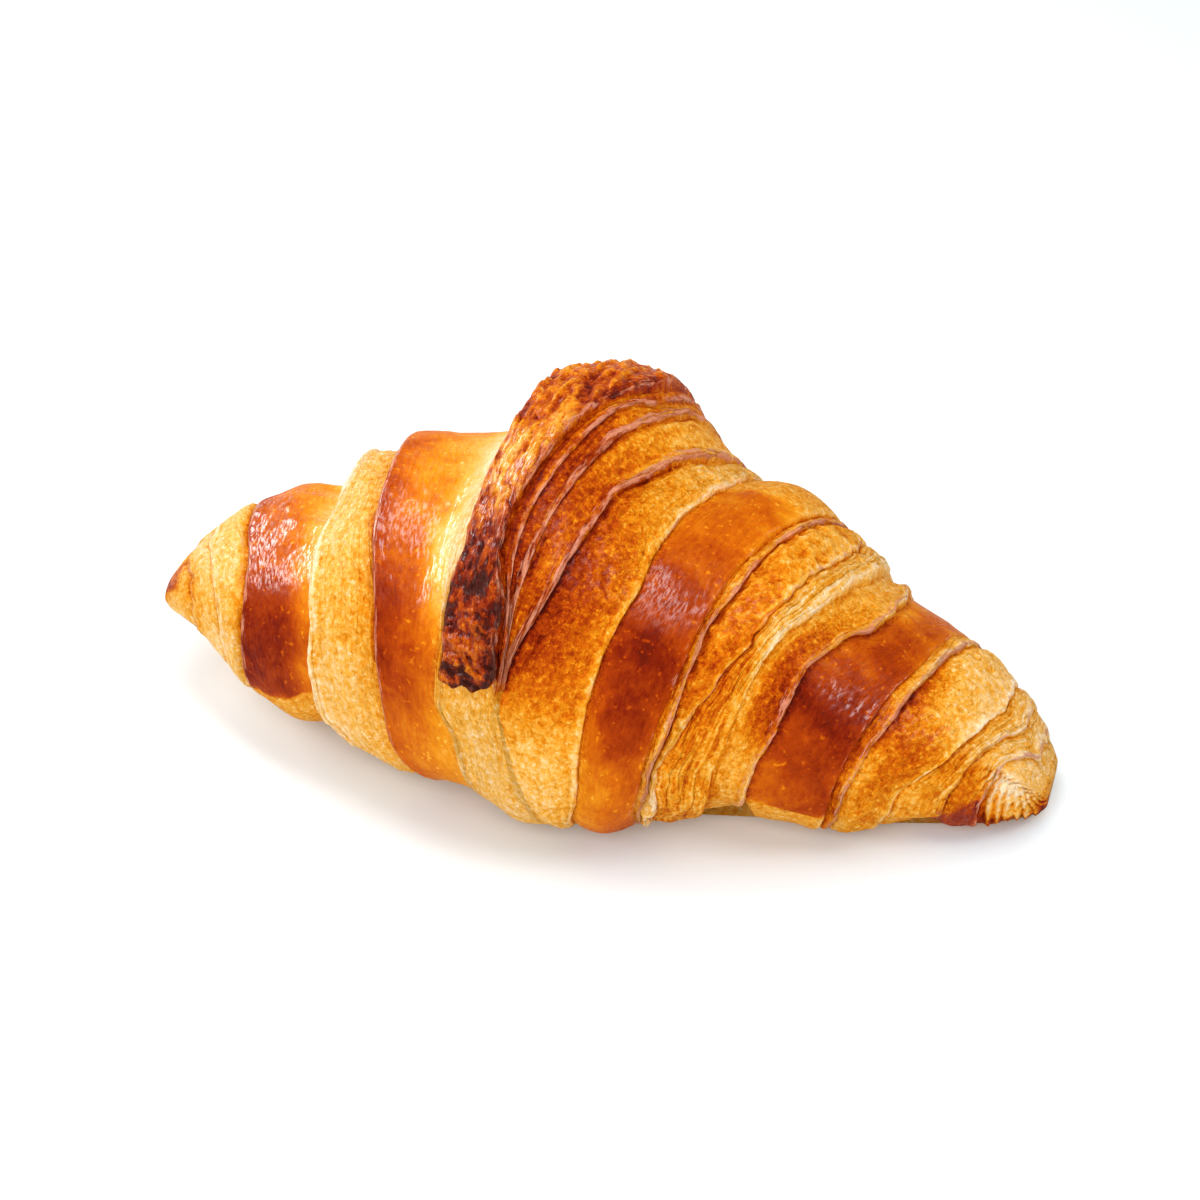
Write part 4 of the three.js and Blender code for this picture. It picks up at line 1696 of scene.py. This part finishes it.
    def coat(self) -> Socket:
        """Breaks the gloss up by short streaks.

        Returns:
            The coat's weight.
        """
        look, nodes = self.look, self.nodes
        broken = nodes.range(self.speckle(look.streak), look.streak_at, (look.coat_low, look.coat))
        return nodes.times(nodes.mask("gloss"), broken)

    def bump(self) -> Socket:
        """Grain too fine for the mesh.

        Returns:
            The bumped normal.
        """
        look, nodes = self.look, self.nodes
        low = nodes.times(self.wrinkle, self.by_wash(look.wrinkle_bump))
        fuzz = nodes.times(self.fuzz, nodes.times(self.bare, look.fuzz_bump))
        high = nodes.total(nodes.times(self.crumb, self.by_wash(look.crumb_bump)), fuzz)
        fine = nodes.times(self.pore, self.by_wash(look.pore_bump))
        threads = nodes.times(self.thread, nodes.times(self.fibre, look.thread_bump))
        wisps = nodes.times(self.wisp, nodes.times(self.crest, look.crest_bump))
        cuts = nodes.times(self.vein, look.vein_bump)
        lines = nodes.math("SUBTRACT", nodes.total(threads, wisps), cuts)
        node = nodes.add("ShaderNodeBump")
        node.inputs["Strength"].default_value = look.bump_strength
        node.inputs["Distance"].default_value = look.bump_distance
        total = nodes.total(nodes.total(low, high), nodes.total(fine, lines))
        nodes.feed(node.inputs["Height"], total)
        return node.outputs[0]


# ---------------------------------------------------------------- the studio


@dataclass(frozen=True)
class SoftLight:
    """A rectangular studio light that faces the object."""

    name: str
    place: tuple[float, float, float]
    length: float
    width: float
    power: float
    turned: float = 0.0


@dataclass
class Studio:
    """Pale floor, soft lights and the camera."""

    azimuth: float = 15.0
    elevation: float = 39.0
    lens: float = 100.0
    sensor: float = 36.0
    frame_width: float = 0.205
    target: tuple[float, float, float] = (-0.0005, -0.0015, 0.0274)
    floor_size: float = 3.0
    floor_colour: Colour = (0.81, 0.87, 0.90)
    floor_roughness: float = 0.9
    sky: float = 0.22
    sky_colour: Colour = (1.0, 1.0, 1.0)
    aim: tuple[float, float, float] = (0.0, 0.0, 0.02)
    lights: tuple[SoftLight, ...] = (
        SoftLight("key_light", (0.02, 0.08, 0.60), 0.9, 0.24, 2.9, -30.0),
        SoftLight("front_light", (0.02, -0.48, 0.36), 0.6, 0.4, 2.8),
        SoftLight("left_light", (-0.50, 0.02, 0.32), 0.26, 0.16, 1.1, 90.0),
        SoftLight("left_back_light", (-0.46, 0.28, 0.25), 0.32, 0.13, 1.3, 60.0),
        SoftLight("right_light", (0.42, -0.08, 0.50), 0.24, 0.2, 0.8, 90.0),
    )

    def floor(self) -> bpy.types.Object:
        """The plain pale floor.

        Returns:
            The floor, staged.
        """
        bpy.ops.object.select_all(action="DESELECT")
        bpy.ops.mesh.primitive_plane_add(size=self.floor_size)
        floor = bpy.context.active_object
        floor.name = "studio_floor"
        material = bpy.data.materials.new("pale_floor")
        material.use_nodes = True
        shader = material.node_tree.nodes["Principled BSDF"]
        shader.inputs["Base Color"].default_value = solid(self.floor_colour)
        shader.inputs["Roughness"].default_value = self.floor_roughness
        floor.data.materials.append(material)
        return floor

    def light(self) -> None:
        """The sky and the soft lights."""
        world = bpy.data.worlds.new("studio_sky")
        world.use_nodes = True
        background = world.node_tree.nodes["Background"]
        background.inputs[0].default_value = solid(self.sky_colour)
        background.inputs[1].default_value = self.sky
        bpy.context.scene.world = world
        for soft in self.lights:
            data = bpy.data.lights.new(soft.name, "AREA")
            data.shape = "RECTANGLE"
            data.energy, data.size, data.size_y = soft.power, soft.length, soft.width
            lamp = bpy.data.objects.new(soft.name, data)
            turn = math.radians(soft.turned)
            out = (Vector(soft.place) - Vector(self.aim)).normalized()
            along = Vector((math.cos(turn), math.sin(turn), 0.0))
            across = out.cross(along).normalized()
            axes = Matrix((across.cross(out), across, out)).transposed()
            lamp.matrix_world = Matrix.Translation(soft.place) @ axes.to_4x4()
            bpy.context.scene.collection.objects.link(lamp)

    def camera(self) -> bpy.types.Object:
        """The camera, high in front and a little to the right.

        Returns:
            The camera.
        """
        turn, rise = math.radians(self.azimuth), math.radians(self.elevation)
        back = Vector((math.sin(turn) * math.cos(rise), -math.cos(turn) * math.cos(rise), math.sin(rise)))
        data = bpy.data.cameras.new("camera")
        data.lens, data.sensor_width = self.lens, self.sensor
        camera = bpy.data.objects.new("camera", data)
        camera.location = Vector(self.target) + back * (self.lens / self.sensor * self.frame_width)
        camera.rotation_mode = "QUATERNION"
        camera.rotation_quaternion = (-back).to_track_quat("-Z", "Y")
        bpy.context.scene.collection.objects.link(camera)
        bpy.context.scene.camera = camera
        return camera

    def develop(self) -> None:
        """Plain colour handling, so that the crust keeps its warmth."""
        view = bpy.context.scene.view_settings
        view.view_transform = "Standard"
        view.look = "None"


# ---------------------------------------------------------------- the build


def main() -> None:
    """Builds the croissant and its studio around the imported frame."""
    logging.basicConfig(level=logging.INFO)
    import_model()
    skin = Baker().bake()
    LOG.info("skin: %d rows of %d", *skin.points.shape[:2])
    piece = BakedRoll(skin).build()
    piece.data.materials.append(DoughFinish().build())
    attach(piece, "root")
    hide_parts("croissant")
    LOG.info("%s: %d faces", piece.name, len(piece.data.polygons))
    studio = Studio()
    studio.floor()
    studio.light()
    studio.camera()
    studio.develop()


if __name__ == "__main__":
    main()
